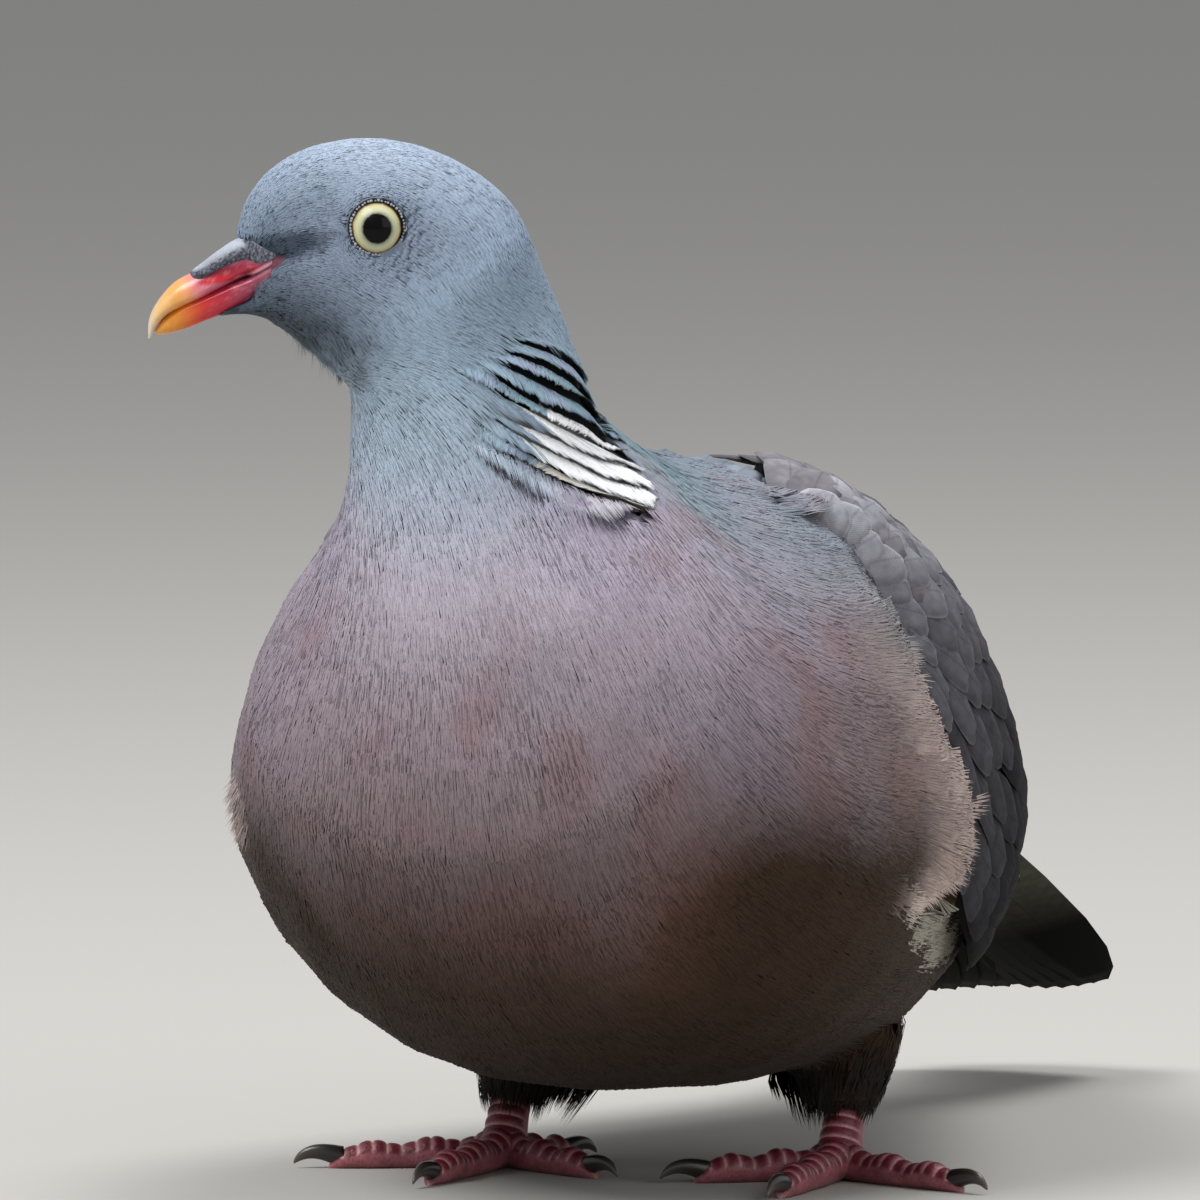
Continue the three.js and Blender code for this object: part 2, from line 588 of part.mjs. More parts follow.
// Tiers of feathers, from the ones that lie lowest to the ones that lie over them: how many, the row of the
// first and of the last tip, down of the first and of the last tip, length in rows, half width in mm, and
// how far the tip's row and place are shaken.
const wingTiers = [
  { count: 6, tips: [9.9, 8.2], down: [0.86, 0.28], long: 3.4, half: 5, drift: -0.02, tip: 0.2, rise: 0.15 },
  { count: 7, tips: [6.4, 7.3], down: [0.93, 0.15], long: 2, half: 7.8, drift: 0, tip: 1, rise: 0.02 },
  { count: 6, tips: [4.9, 5.5], down: [0.93, 0.16], long: 1.6, half: 9, drift: 0.01, tip: 1.2, rise: 0 },
  { count: 6, tips: [3.8, 4.1], down: [0.93, 0.15], long: 1.3, half: 10, drift: 0.01, tip: 1.2, rise: 0 },
  { count: 6, tips: [2.8, 2.95], down: [0.92, 0.14], long: 1.2, half: 9.8, drift: 0.01, tip: 1.2, rise: 0 },
  { count: 4, tips: [1.85, 1.9], down: [0.84, 0.18], long: 1, half: 11, drift: 0.02, tip: 1.1, rise: 0 },
];
const shake = { row: 0.1, down: 0.012, half: 0.06 };

// The wing's core: a shell under the feathers, thick where it lies on the body and thin past it.
function wingCore(side) {
  const sunk = 0.8;
  return limb(18, 12, (along, angle, out) => {
    const row = along * (wingEnd - 0.5);
    const down = 0.5 - 0.48 * Math.cos(angle) * out;
    const deep = smooth(wingLine, row)[10];
    const inward = 0.5 - 0.5 * Math.sin(angle) * out;
    const point = foldedPoint(row, down, -sunk - deep * inward);
    point.x *= side;
    return point;
  });
}

function wingSolid(side, seed) {
  const draw = drawsFrom(seed);
  let wing = wingCore(side);
  for (const { count, tips, down, long, half, drift, tip, rise } of wingTiers) {
    for (let i = 0; i < count; i++) {
      const share = i / (count - 1);
      const row = tips[0] + (tips[1] - tips[0]) * share + shake.row * draw();
      const at = down[0] + (down[1] - down[0]) * share + shake.down * draw();
      const feather = {
        from: [row - long, at - drift],
        to: [row, at],
        half: half * (1 + shake.half * draw()),
        root: -1.7,
        tip: tip + rise * i,
        tilt: 0.045,
      };
      wing = wing.add(wingVane(side, feather));
    }
  }
  return wing;
}

const wingSides = { left: 1, right: -1 };
for (const [name, side] of Object.entries(wingSides)) {
  const taken = [bodyClearance, tailRoom, ...shinClearances];
  const clear = taken.reduce((wing, other) => wing.subtract(other), wingSolid(side, 11 + side));
  part("wing_" + name, clear, dusk);
}

export default pigeon;
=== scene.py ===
# A common wood pigeon as a still, life-size model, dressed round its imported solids: the skin and the coat of
# small feathers, the folded wings, the tail, the eyes, the bill and the feet. Metres, +Z up, the bird faces -Y.
import math
from functools import partial

import bmesh
import bpy
import numpy as np
from mathutils import Matrix, Vector, noise
from mathutils.bvhtree import BVHTree
from mathutils.kdtree import KDTree


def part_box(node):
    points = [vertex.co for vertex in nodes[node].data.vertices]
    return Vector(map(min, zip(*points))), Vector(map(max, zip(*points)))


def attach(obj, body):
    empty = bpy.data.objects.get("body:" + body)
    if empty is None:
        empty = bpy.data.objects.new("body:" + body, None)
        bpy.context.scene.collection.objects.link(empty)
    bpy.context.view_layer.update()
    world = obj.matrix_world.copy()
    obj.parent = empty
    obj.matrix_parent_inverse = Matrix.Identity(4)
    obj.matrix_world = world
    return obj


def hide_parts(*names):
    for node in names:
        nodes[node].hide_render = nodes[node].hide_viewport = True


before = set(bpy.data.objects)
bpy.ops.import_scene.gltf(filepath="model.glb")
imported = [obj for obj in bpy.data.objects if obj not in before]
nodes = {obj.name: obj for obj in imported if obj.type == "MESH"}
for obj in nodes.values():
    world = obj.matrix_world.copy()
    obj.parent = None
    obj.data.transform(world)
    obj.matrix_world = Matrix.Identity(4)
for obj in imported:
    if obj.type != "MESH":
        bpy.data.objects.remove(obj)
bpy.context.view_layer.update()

# ------------------------------------------------------------------ camera
# A long lens at the height of the bird's eye, a little to its left, as a bird table is watched from a hide.
MM = 0.001
AIM = Vector((-7.31, -55.18, 96.43)) * MM
VIEW = Vector((0.34119, -0.93740, 0.069756))  # from the bird towards the camera
AWAY = 3  # metres
camera = bpy.data.objects.new("camera", bpy.data.cameras.new("camera"))
camera.data.sensor_width = 36
camera.data.lens = 540
camera.data.clip_start = 0.05
camera.data.clip_end = 20
camera.location = AIM + VIEW * AWAY
camera.rotation_euler = (-VIEW).to_track_quat("-Z", "Y").to_euler()
bpy.context.scene.collection.objects.link(camera)
bpy.context.scene.camera = camera

# ------------------------------------------------------------------ the body's own line
# The sections that the whole bird is lofted through, from the tail to the base of the bill, in mm on the
# body's own axes: turn, top point, breast point, half width, how far up it is widest, squareness above, below.
STANCE = np.array([-2.5, -60.6, 0.0])
SKULL = np.array([-19.0, -60.0, 162.0])
HEAD_YAW = math.radians(-66)
HEAD_BACK = np.array([-math.sin(HEAD_YAW), math.cos(HEAD_YAW), 0.0])
HEAD_LEFT = np.array([math.cos(HEAD_YAW), math.sin(HEAD_YAW), 0.0])


def on_head(back, up, left=0.0):
    """A place in mm from the skull's centre, on the turned head's own axes."""
    return SKULL + HEAD_BACK * back + HEAD_LEFT * left + np.array([0, 0, up])


def head_row(back_top, up_top, back_low, up_low, *rest):
    return (-66, *on_head(back_top, up_top), *on_head(back_low, up_low), *rest)


BODY_LINE = np.array(
    [
        (0, 0, 160, 38.4, 0, 158, 35.2, 18, 0.5, 2, 2),
        (0, 0, 134, 55, 0, 130, 43, 23.5, 0.5, 2, 2),
        (0, 0, 104, 75, 0, 100, 50, 29, 0.5, 2, 2),
        (0, 0, 84, 88, 0, 80, 37, 35.5, 0.48, 2.1, 2),
        (0, 0, 60, 100, 0, 56, 21.5, 46, 0.46, 2.1, 2.5),
        (0, 0, 37, 111, 0, 33, 15.5, 52.5, 0.45, 2.2, 2.5),
        (0, 0, 14, 119, 0, 9, 14.8, 56, 0.44, 2.4, 2.45),
        (0, 0, -6, 122.4, 0, -16, 16.5, 57.8, 0.43, 2.5, 2.2),
        (0, 0, -17, 124.2, 0, -43, 24.8, 56, 0.41, 2.35, 1.85),
        (0, 0, -23, 125.5, 0, -67, 39, 49.5, 0.42, 2.15, 1.81),
        (0, -0.5, -26, 127, 0, -83, 61, 41, 0.42, 2, 2),
        (-2, -2, -28, 130.5, -1.5, -82, 88, 29.5, 0.44, 2, 2),
        (-8, -4.5, -30, 135, -6.5, -74.5, 109, 22, 0.48, 2, 2),
        (-22, -2.5, -32, 142, -12.5, -71, 125, 20.5, 0.5, 2, 2),
        (-44, 0.5, -36, 150, -19.5, -68, 135, 19.6, 0.5, 2, 2),
        (-62, *on_head(25, -3.6), *on_head(-8.3, -24.5), 17.6, 0.52, 2, 2),
        head_row(22, 3, -10.5, -22, 16, 0.52, 2.05, 2.05),
        head_row(16.5, 8, -12.5, -20.3, 14.8, 0.5, 2.1, 2.1),
        head_row(8.5, 12.3, -14, -19, 13.7, 0.5, 2.15, 2.15),
        head_row(-1, 14.2, -15.5, -18, 12.5, 0.5, 2.2, 2.2),
        head_row(-10.4, 13.2, -16.8, -17.2, 11, 0.5, 2.15, 2.15),
        head_row(-17.9, 9.5, -17.8, -16.5, 9.2, 0.48, 2.1, 2.1),
        head_row(-22.7, 3.3, -18.9, -15.8, 6.8, 0.46, 2, 2),
        head_row(-23.8, -2.8, -19.8, -14.6, 4.8, 0.46, 2, 2),
    ]
)
LAST_ROW = len(BODY_LINE) - 1


def smooth_rows(table, at):
    """The table's values at fractional row numbers, on a smooth curve through its rows."""
    at = np.asarray(at, float)
    i = np.clip(np.floor(at).astype(int), 0, len(table) - 2)
    t = (at - i)[..., None]
    a, b, c, d = (table[np.clip(i + k, 0, len(table) - 1)] for k in (-1, 0, 1, 2))
    return b + 0.5 * t * (c - a + t * (2 * a - 5 * b + 4 * c - d + t * (3 * (b - c) + d - a)))


def section_point(top, low, across, half, widest, above, below, angle):
    """A point of one cross section, round from its left side, where the angle is 0, over its top."""
    c, s = np.cos(angle), np.sin(angle)
    power = 2 / np.where(s > 0, above, below)
    side = half * np.sign(c) * np.abs(c) ** power
    up = np.where(s > 0, 1 - widest, widest) * np.sign(s) * np.abs(s) ** power
    return low + (top - low) * (widest + up)[..., None] + across * side[..., None]


def body_point(row, angle):
    """A point of the body's surface. Angle 0 is the bird's left side and pi / 2 its back."""
    sections = smooth_rows(BODY_LINE, row)
    turn, (half, widest, above, below) = np.radians(sections[..., 0]), np.moveaxis(sections[..., 7:], -1, 0)
    across = np.stack([np.cos(turn), np.sin(turn), np.zeros_like(turn)], -1)
    top, low = sections[..., 1:4], sections[..., 4:7]
    return section_point(top, low, across, half, widest, above, below, np.asarray(angle, float)) + STANCE


def unit(vectors):
    """The same directions, each of length 1."""
    return vectors / np.maximum(np.linalg.norm(vectors, axis=-1, keepdims=True), 1e-9)


FINE_STEP = 0.02  # in rows or radians, by which a surface's slopes are measured


def lie_at(surface, row, beside):
    """Points of a surface, the outward direction there, and mm across it for one unit of beside."""
    along = surface(row + FINE_STEP, beside) - surface(row - FINE_STEP, beside)
    around = surface(row, beside + FINE_STEP) - surface(row, beside - FINE_STEP)
    return surface(row, beside), unit(np.cross(around, along)), np.linalg.norm(around, axis=-1) / (2 * FINE_STEP)


def from_skull(places):
    """Back and up from the skull's centre, and mm to the left, of places in mm."""
    arms = places - SKULL - STANCE
    return arms @ HEAD_BACK, arms[..., 2], arms @ HEAD_LEFT


# A folded wing's outer surface, from the bend to the tip: top y and z, low y and z, half width, how far up it
# is widest, squareness above and below, angles of the top and low edges, and the depth of its bed.
WING_LINE = np.array(
    [
        (-14, 123.6, -2, 20, 57.6, 0.43, 2.75, 2.1, 56, 10, 6),
        (-3, 124.2, 9, 17, 61.2, 0.43, 2.8, 2.2, 68, -14, 7),
        (11, 122.8, 23, 15, 61.4, 0.44, 2.55, 2.3, 76, -26, 8),
        (27, 119, 38, 15, 59.4, 0.45, 2.25, 2.2, 80, -33, 8),
        (45, 112, 55, 18, 54.2, 0.46, 2, 2.1, 81, -36, 8),
        (64, 103.5, 74, 23, 48, 0.46, 2, 2, 81, -37, 8),
        (84, 92.5, 94, 29, 40.6, 0.46, 2, 2, 81, -38, 6),
        (106, 79.5, 114, 33, 32.5, 0.46, 2, 2, 78, -38, 4),
        (128, 66, 134, 35.5, 24.5, 0.46, 2, 2, 73, -38, 2.8),
        (150, 53.5, 154, 38, 16.5, 0.46, 2, 2, 64, -30, 2),
        (166, 46, 168, 41, 10, 0.5, 2, 2, 50, -10, 1.4),
    ],
    float,
)


def folded_point(row, down, side):
    """A point of a folded wing's outer surface: down 0 at its top edge and 1 at its low edge."""
    row = np.asarray(row, float)
    beyond = np.minimum(row, 0)[..., None] * (np.array(WING_LINE[1]) - WING_LINE[0])  # straight on before row 0
    sections = smooth_rows(WING_LINE, np.maximum(row, 0)) + beyond
    y_top, z_top, y_low, z_low, half, widest, above, below, top, low, _ = np.moveaxis(sections, -1, 0)
    angle = np.radians(top + (low - top) * down)
    zero = np.zeros_like(y_top)
    high, deep = np.stack([zero, y_top, z_top], -1), np.stack([zero, y_low, z_low], -1)
    place = section_point(high, deep, np.array([1.0, 0, 0]), half, widest, above, below, angle) + STANCE
    return place if side > 0 else place * [-1, 1, 1] + [2 * STANCE[0], 0, 0]


def over_wing(row, down, side):
    """Points of a wing's surface, the outward direction there, and mm across it for one unit of down."""
    place, out, spread = lie_at(partial(folded_point, side=side), row, down)
    return place, out * side, spread


# ------------------------------------------------------------------ skin
# One skin under all the small feathers, from the base of the bill to the root of the tail, where the packed
# flesh has its parting cuts. It lies inside the solids by the depth of the coat and carries its markings.
def copy_of(node):
    """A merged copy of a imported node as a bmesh."""
    made = bmesh.new()
    made.from_mesh(nodes[node].data)
    bmesh.ops.remove_doubles(made, verts=made.verts, dist=1e-6)
    return made


def object_of(made, name):
    """A finished bmesh as an object at the origin."""
    mesh = bpy.data.meshes.new(name)
    made.to_mesh(mesh)
    made.free()
    piece = bpy.data.objects.new(name, mesh)
    bpy.context.scene.collection.objects.link(piece)
    return piece


def apply_modifiers(piece):
    bpy.context.view_layer.update()
    shaped = piece.evaluated_get(bpy.context.evaluated_depsgraph_get())
    mesh, old = bpy.data.meshes.new_from_object(shaped), piece.data
    piece.modifiers.clear()
    piece.data = mesh
    bpy.data.meshes.remove(old)
    mesh.name = piece.name


def soften(piece, factor, rounds, group=""):
    """Smooths a piece, within a vertex group where one is named."""
    smooth = piece.modifiers.new("soften", "SMOOTH")
    smooth.factor, smooth.iterations, smooth.vertex_group = factor, rounds, group
    apply_modifiers(piece)


def vertex_array(mesh, what="co"):
    """Places or normals of a mesh's corners, as rows of an array."""
    values = np.empty(len(mesh.vertices) * 3, np.float32)
    mesh.vertices.foreach_get(what, values)
    return values.reshape(-1, 3).astype(float)


def loft(made, rings, sides, place):
    """A closed limb of rings: place(along, angle) gives each point in mm."""
    circles = []
    for ring in range(rings):
        circle = bmesh.ops.create_circle(made, segments=sides, radius=1, cap_ends=ring in (0, rings - 1))["verts"]
        for vert in circle:
            vert.co = Vector(place(ring / (rings - 1), math.atan2(vert.co.y, vert.co.x))) * MM
        circles.append(list({edge for vert in circle for edge in vert.link_edges}))
    for one, other in zip(circles, circles[1:]):
        bmesh.ops.bridge_loops(made, edges=one + other)


# The chin's wedge of feathered skin under the lower mandible: back, upper and lower edge, half width.
CHIN = np.array(
    [(-12, -9, -17.5, 9.3), (-16, -10, -15.9, 8.4), (-20, -11.6, -14.9, 6.0), (-24, -12.8, -14.7, 4.4),
     (-27, -13.9, -15.2, 3.2), (-29.6, -14.7, -15.7, 1.8)]
)
# Where the flank's skin laps over the wing's front: rows of the wing's line and how far down the lap begins.
LAP_ROWS, LAP_DOWNS = [-0.3, 0, 0.3, 0.6, 1.0, 1.2], [0.6, 0.66, 0.79, 0.82, 0.8, 0.8]
LAP_PROUD, LAP_THICK = 1.1, 10 * MM  # off the wing, and through
# The low cone of the lids round each eye: how far out from the eyeball's centre in mm, radii and height.
MOUND_OUT, MOUND_WIDE, MOUND_HIGH = 2.9, (8.2 * MM, 5.0 * MM), 3.4 * MM
FILLET_OUT, FILLET_Y, FILLET_Z = 40, (-84, -42), (38, 104)  # where the lap's edge is smoothed into the flank
flesh = bmesh.new()
for node in ("torso", "neck", "head", "shin_left", "shin_right"):
    part = copy_of(node)
    loose = bpy.data.meshes.new("loose")
    part.to_mesh(loose)
    part.free()
    flesh.from_mesh(loose)
    bpy.data.meshes.remove(loose)
loft(flesh, 9, 40, lambda along, angle: body_point(0.15 + 2.45 * along, angle))


def chin_point(along, angle):
    back, high, low, half = smooth_rows(CHIN, along * (len(CHIN) - 1))
    up = (high + low) / 2 + math.sin(angle) * (high - low) / 2
    return on_head(back, up, math.cos(angle) * half) + STANCE


loft(flesh, 12, 24, chin_point)
eye_centres = {}
for side, node in ((1, "eye_left"), (-1, "eye_right")):
    low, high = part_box(node)
    eye_centres[side] = np.array((low + high) / 2) / MM
    axis = Vector(HEAD_LEFT * side)
    place = Matrix.Translation((Vector(eye_centres[side]) + axis * MOUND_OUT) * MM)
    bmesh.ops.create_cone(
        flesh, cap_ends=True, segments=48, radius1=MOUND_WIDE[0], radius2=MOUND_WIDE[1], depth=MOUND_HIGH,
        matrix=place @ axis.to_track_quat("Z", "Y").to_matrix().to_4x4(),
    )
    lap = bmesh.ops.create_grid(flesh, x_segments=16, y_segments=14, size=1)["verts"]
    for vert in lap:
        row = LAP_ROWS[0] + (LAP_ROWS[-1] - LAP_ROWS[0]) * (vert.co.x + 1) / 2
        first = np.interp(row, LAP_ROWS, LAP_DOWNS)
        down = first + (1.06 - first) * (vert.co.y + 1) / 2
        place, out, _ = over_wing(np.array(row), np.array(down), side)
        vert.co = Vector(place + out * LAP_PROUD) * MM
    lap_faces = list({face for vert in lap for face in vert.link_faces})
    made = bmesh.ops.extrude_face_region(flesh, geom=lap_faces)["geom"]
    deep = [vert for vert in made if isinstance(vert, bmesh.types.BMVert)]
    bmesh.ops.translate(flesh, verts=deep, vec=(-LAP_THICK * side, 0, 0))
bmesh.ops.recalc_face_normals(flesh, faces=flesh.faces)
skin = object_of(flesh, "skin")
remesh = skin.modifiers.new("one skin", "REMESH")
remesh.mode = "VOXEL"
remesh.voxel_size = 1.06 * MM
apply_modifiers(skin)
soften(skin, 0.6, 6)
by_lap = skin.vertex_groups.new(name="by the wing")
for vert in skin.data.vertices:
    x, y, z = vert.co / MM
    if abs(x - STANCE[0]) > FILLET_OUT and FILLET_Y[0] < y < FILLET_Y[1] and FILLET_Z[0] < z < FILLET_Z[1]:
        share = min(1.0, (y - FILLET_Y[0]) / 8, (FILLET_Y[1] - y) / 6, (z - FILLET_Z[0]) / 8, (FILLET_Z[1] - z) / 8)
        by_lap.add([vert.index], share, "REPLACE")
soften(skin, 0.7, 22, "by the wing")


# Every place on the skin belongs to a row and an angle of the body's line, which give the lie of the coat.
lie_rows, lie_angles = (
    values.ravel()
    for values in np.meshgrid(np.linspace(0.1, LAST_ROW, 150), np.linspace(-math.pi, math.pi, 73)[:-1], indexing="ij")
)
lie_places = body_point(lie_rows, lie_angles)
lie_back = unit(body_point(lie_rows - 0.06, lie_angles) - body_point(lie_rows + 0.06, lie_angles))
lie_tree = KDTree(len(lie_places))
for i, place in enumerate(lie_places):
    lie_tree.insert(place, i)
lie_tree.balance()


def lie_of(places):
    """Row, angle and the direction in which feathers lie, for places in mm."""
    near = np.array([lie_tree.find(p)[1] for p in places])
    return lie_rows[near], lie_angles[near], lie_back[near]


def blend_step(value, low, high):
    """A soft step from 0 at low to 1 at high."""
    t = np.clip((value - low) / (high - low), 0, 1)
    return t * t * (3 - 2 * t)


def coat_depth(row):
    """How deep the coat is, in mm, from row to row of the body's line."""
    return np.interp(row, [0, 3, 5, 10, 12, 14, 16, 19, 22, 23], [1.3, 1.6, 1.8, 1.8, 1.6, 1.35, 1.05, 0.8, 0.5, 0.3])


skin_places = vertex_array(skin.data) / MM
skin_places -= vertex_array(skin.data, "normal") * coat_depth(lie_of(skin_places)[0])[:, None]
skin.data.vertices.foreach_set("co", (skin_places * MM).astype(np.float32).ravel())
skin.data.update()
soften(skin, 0.5, 3)
skin_places = vertex_array(skin.data) / MM

# ------------------------------------------------------------------ markings
# The colours of the coat, shared by the skin and every small feather on it: slate head, blue-green neck with
# its white bar, mauve breast that grows brown and dark to the belly, partly its own warm tone and partly
# painted shade, and the grey of the back and the rump.
def linear(colour):
    """An sRGB hex colour as linear red, green and blue."""
    parts = [int(colour[i : i + 2], 16) / 255 for i in (1, 3, 5)]
    return np.array([c / 12.92 if c <= 0.04045 else ((c + 0.055) / 1.055) ** 2.4 for c in parts])


# Row of the body's line, then the colour on the back, on the sides and below. The colours below darken under
# the throat and from the breast down to the belly: partly the coat's own tone, partly painted shade.
COAT_BANDS = [
    (0, "#8d97a5", "#8d97a5", "#a6a5a8"),
    (3, "#87929f", "#8b9099", "#a09c9e"),
    (5, "#7d8793", "#8d8788", "#857b74"),
    (6.5, "#7c8692", "#8f8285", "#83736e"),
    (8, "#808c97", "#93868f", "#807377"),
    (9, "#7c8c97", "#968b98", "#897d85"),
    (10.5, "#76939b", "#a297a5", "#9d919b"),
    (11.6, "#7d99a3", "#9c94a6", "#aea7b4"),
    (12.6, "#8099a8", "#9ba6b7", "#a3b1c1"),
    (13.6, "#8b9fb1", "#93a7b8", "#9db0c0"),
    (15, "#8e9fb4", "#8fa1b4", "#7d8b99"),
    (16.5, "#98a7bb", "#8794a7", "#5b6773"),
    (19, "#a3b1c4", "#8390a3", "#535e6a"),
    (21.5, "#90a0b4", "#6c7a8b", "#4c5661"),
    (23, "#7788a0", "#4f5b6a", "#48525e"),
]
band_rows = [band[0] for band in COAT_BANDS]
band_colours = np.array([[linear(colour) for colour in band[1:]] for band in COAT_BANDS])

# The neck's furrows run down and back over it, each as row and angle of the body's line, on the left side.
# Between two of them lies one strip of feathers, whose tips stand over the black roots of the next strip:
# partly the feathers' dark bases and partly painted shadow under the tips.
FURROWS = [
    [(14.35, 10), (14.03, 21), (13.63, 34), (13.03, 44), (12.75, 56), (12.5, 72), (12.4, 90)],
    [(14.45, -2), (13.93, 11), (13.33, 27), (12.98, 32), (12.6, 42), (12.2, 60), (12.0, 76)],
    [(14.4, -10), (13.83, 3), (13.23, 16), (12.62, 27), (12.2, 38), (11.85, 54), (11.7, 66)],
    [(14.55, -15), (13.88, -8), (13.38, 1), (13.03, 9), (12.53, 25), (12.0, 36), (11.5, 50)],
    [(14.5, -20), (13.88, -16), (13.33, -12), (12.93, -2), (12.42, 16), (12.0, 27), (11.4, 40)],
    [(14.25, -27), (13.83, -27), (13.43, -22), (12.98, -13), (12.68, -4), (12.27, 10), (11.4, 32)],
    [(13.7, -33), (13.18, -28), (12.88, -19), (12.47, -5), (12.07, 9), (11.6, 24), (11.15, 31)],
    [(13.5, -37), (12.98, -29), (12.58, -17), (12.22, -4), (11.82, 8), (11.35, 22), (11.0, 28)],
    [(13.35, -43), (12.88, -33), (12.4, -19), (12.0, -5), (11.65, 6), (11.3, 15), (11.05, 21)],
    [(13.3, -54), (13.0, -44), (12.63, -31), (12.3, -20), (12.0, -9), (11.6, 6), (11.25, 14)],
    [(13.26, -60), (12.93, -50), (12.52, -38), (12.17, -27), (11.85, -15), (11.48, 1), (11.17, 10)],
]
# Share of each strip's length from which it is white.
WHITE_FROM = [2, 2, 2, 2, 0.5, 0.36, 0.26, 0.24, 0.36, 2]
furrow_ring = np.array(FURROWS[0] + FURROWS[-2][::-1], float)
white_ring = np.array(
    [(13.3, -22), (13.08, -12), (12.73, 3), (12.02, 22), (11.47, 34), (11.1, 36), (10.95, 30), (11.2, 18),
     (11.5, 11), (11.87, 0), (12.27, -10), (12.83, -27), (13.1, -32)]
)
vent_ring = np.array([(6.7, -13), (6.1, -12), (5.2, -17), (4.6, -30), (5.5, -29), (6.2, -21)], float)
FAR_SIDE_SHIFT = math.radians(28)  # the head's turn draws the right side's furrows up towards the nape

# The bare gape and the root of the bill: for places back from the skull's centre, its lower and upper edge.
GAPE_BACK = [-29.5, -26, -24, -21.8, -20, -18.4, -16.2, -16]
GAPE_LOW = [-15.3, -13.6, -12.9, -11.5, -9.5, -7.6, -5.2, -4.7]
GAPE_HIGH = [-2.5, -2.5, -2.5, -3.0, -3.9, -4.5, -4.7, -4.7]


def inside(ring, x, y):
    """Which points lie inside a closed ring of corners."""
    within = np.zeros(np.shape(x), bool)
    for (xa, ya), (xb, yb) in zip(ring, np.roll(ring, 1, axis=0)):
        crosses = (ya > y) != (yb > y)
        within ^= crosses & (x < (xb - xa) * (y - ya) / np.where(crosses, yb - ya, 1) + xa)
    return within


def beside_degrees(angles):
    """Degrees above the bird's side, the same for its left and its right: 90 is its back."""
    return np.degrees(np.arcsin(np.clip(np.sin(angles), -1, 1)))


def furrow_degrees(angles):
    """Degrees above the bird's side as the furrows' table counts them, on either side."""
    return beside_degrees(angles) - np.where(np.cos(angles) < 0, math.degrees(FAR_SIDE_SHIFT), 0)


WHITE, CREAM, VENT = linear("#eef0f2"), linear("#ded9d1"), linear("#aaa699")
RUST, ROSE, ASH = linear("#96776c"), linear("#8d7075"), linear("#8f8c99")  # patches on the breast
# The belly's brown and the near black under it: partly the belly's own warm tone, partly painted shade.
BELLY_SHADED, UNDER_SHADE = linear("#5d4238"), linear("#32200f")
# The near black of the skin inside the neck's furrows: painted shadow in the gaps, with the feathers' dark bases.
LORE, GAPE, FURROW_ROOT_SHADE = linear("#323d4a"), linear("#7c4a56"), linear("#0b0d10")


def noise_at(places, size, seed):
    """Smooth noise from -1 to 1, with features of about the given size in mm."""
    shift = Vector((seed * 17.3, seed * 5.1, seed * 9.7))
    return np.array([noise.noise(Vector(p) / size + shift) for p in places])


def mixed(one, other, share):
    """One row of colours turned towards another by a share of 0 to 1 for each row."""
    return one + (other - one) * share[:, None]


def plumage(places, rows, angles, share_of_vent=0.85):
    """The coat's colour at places in mm, as linear red, green and blue."""
    back = blend_step(np.sin(angles), 0.25, 0.9)[:, None]
    below = blend_step(-np.sin(angles), 0.2, 0.9)[:, None]
    bands = [
        np.stack([np.interp(rows, band_rows, band_colours[:, k, c]) for c in range(3)], 1) for k in range(3)
    ]
    colours = bands[0] * back + bands[2] * below + bands[1] * (1 - back - below)
    rusty = np.clip(noise_at(places, 13.0, 1) + 0.35, 0, 1) * np.interp(rows, [4, 6, 8.6, 9.8], [0.3, 0.5, 0.45, 0])
    colours = mixed(colours, RUST, rusty * (1 - back[:, 0]))
    patchy = np.interp(rows, [4, 6, 10.5, 12], [0, 1, 1, 0])
    colours = mixed(colours, ROSE, patchy * 0.5 * blend_step(noise_at(places, 11.0, 16), 0.05, 0.6))
    colours = mixed(colours, ASH, patchy * 0.55 * blend_step(noise_at(places, 15.0, 17), 0.0, 0.55))
    head_back, head_up, _ = from_skull(places)
    lore = np.hypot((head_back + 16.0) / 9.5, (head_up + 2.9 - 0.1 * (head_back + 16)) / 2.7)
    colours = mixed(colours, LORE, 0.9 * blend_step(1.3 - lore, 0, 0.8) * (rows > 17))
    # Painted shade, with some of the belly's own warm tone: brown and near black low on the belly and the low sides,
    # and darker on the bird's right side.
    height, left = places[:, 2] + 4 * noise_at(places, 22.0, 2), places[:, 0] - STANCE[0]
    brown_and_shade = np.interp(height, [34, 46, 60, 70, 80, 90, 100, 110], [1, 0.82, 0.58, 0.4, 0.3, 0.2, 0.08, 0])
    brown_and_shade = brown_and_shade * (1 - blend_step(np.sin(angles), 0.2, 0.55)) * blend_step(rows, 3.5, 5)
    brown_and_shade += 0.5 * blend_step(np.abs(left), 20, 46) * blend_step(72 - height, 0, 28)
    side_shade = 30 * blend_step(np.abs(left), 26, 50) * blend_step(96 - height, 0, 40)
    side_shade += 14 * blend_step(-left - 4, 0, 30)
    deep = blend_step(55 + 14 * blend_step(9.5 - rows, 0, 4) + side_shade - height, -6, 36)
    colours = mixed(colours, BELLY_SHADED + (UNDER_SHADE - BELLY_SHADED) * deep[:, None], np.minimum(0.97 * brown_and_shade, 0.985))
    return mixed(colours, VENT, share_of_vent * inside(vent_ring, rows, beside_degrees(angles)))


def bare_face(places, rows, wider=0.0):
    """Which places belong to the bare gape, between the forehead's feathers and the chin's."""
    back, up, _ = from_skull(places)
    low, high = np.interp(back, GAPE_BACK, GAPE_LOW), np.interp(back, GAPE_BACK, GAPE_HIGH)
    return (rows > 17) & (back < GAPE_BACK[-1]) & (up > low) & (up < high + wider)


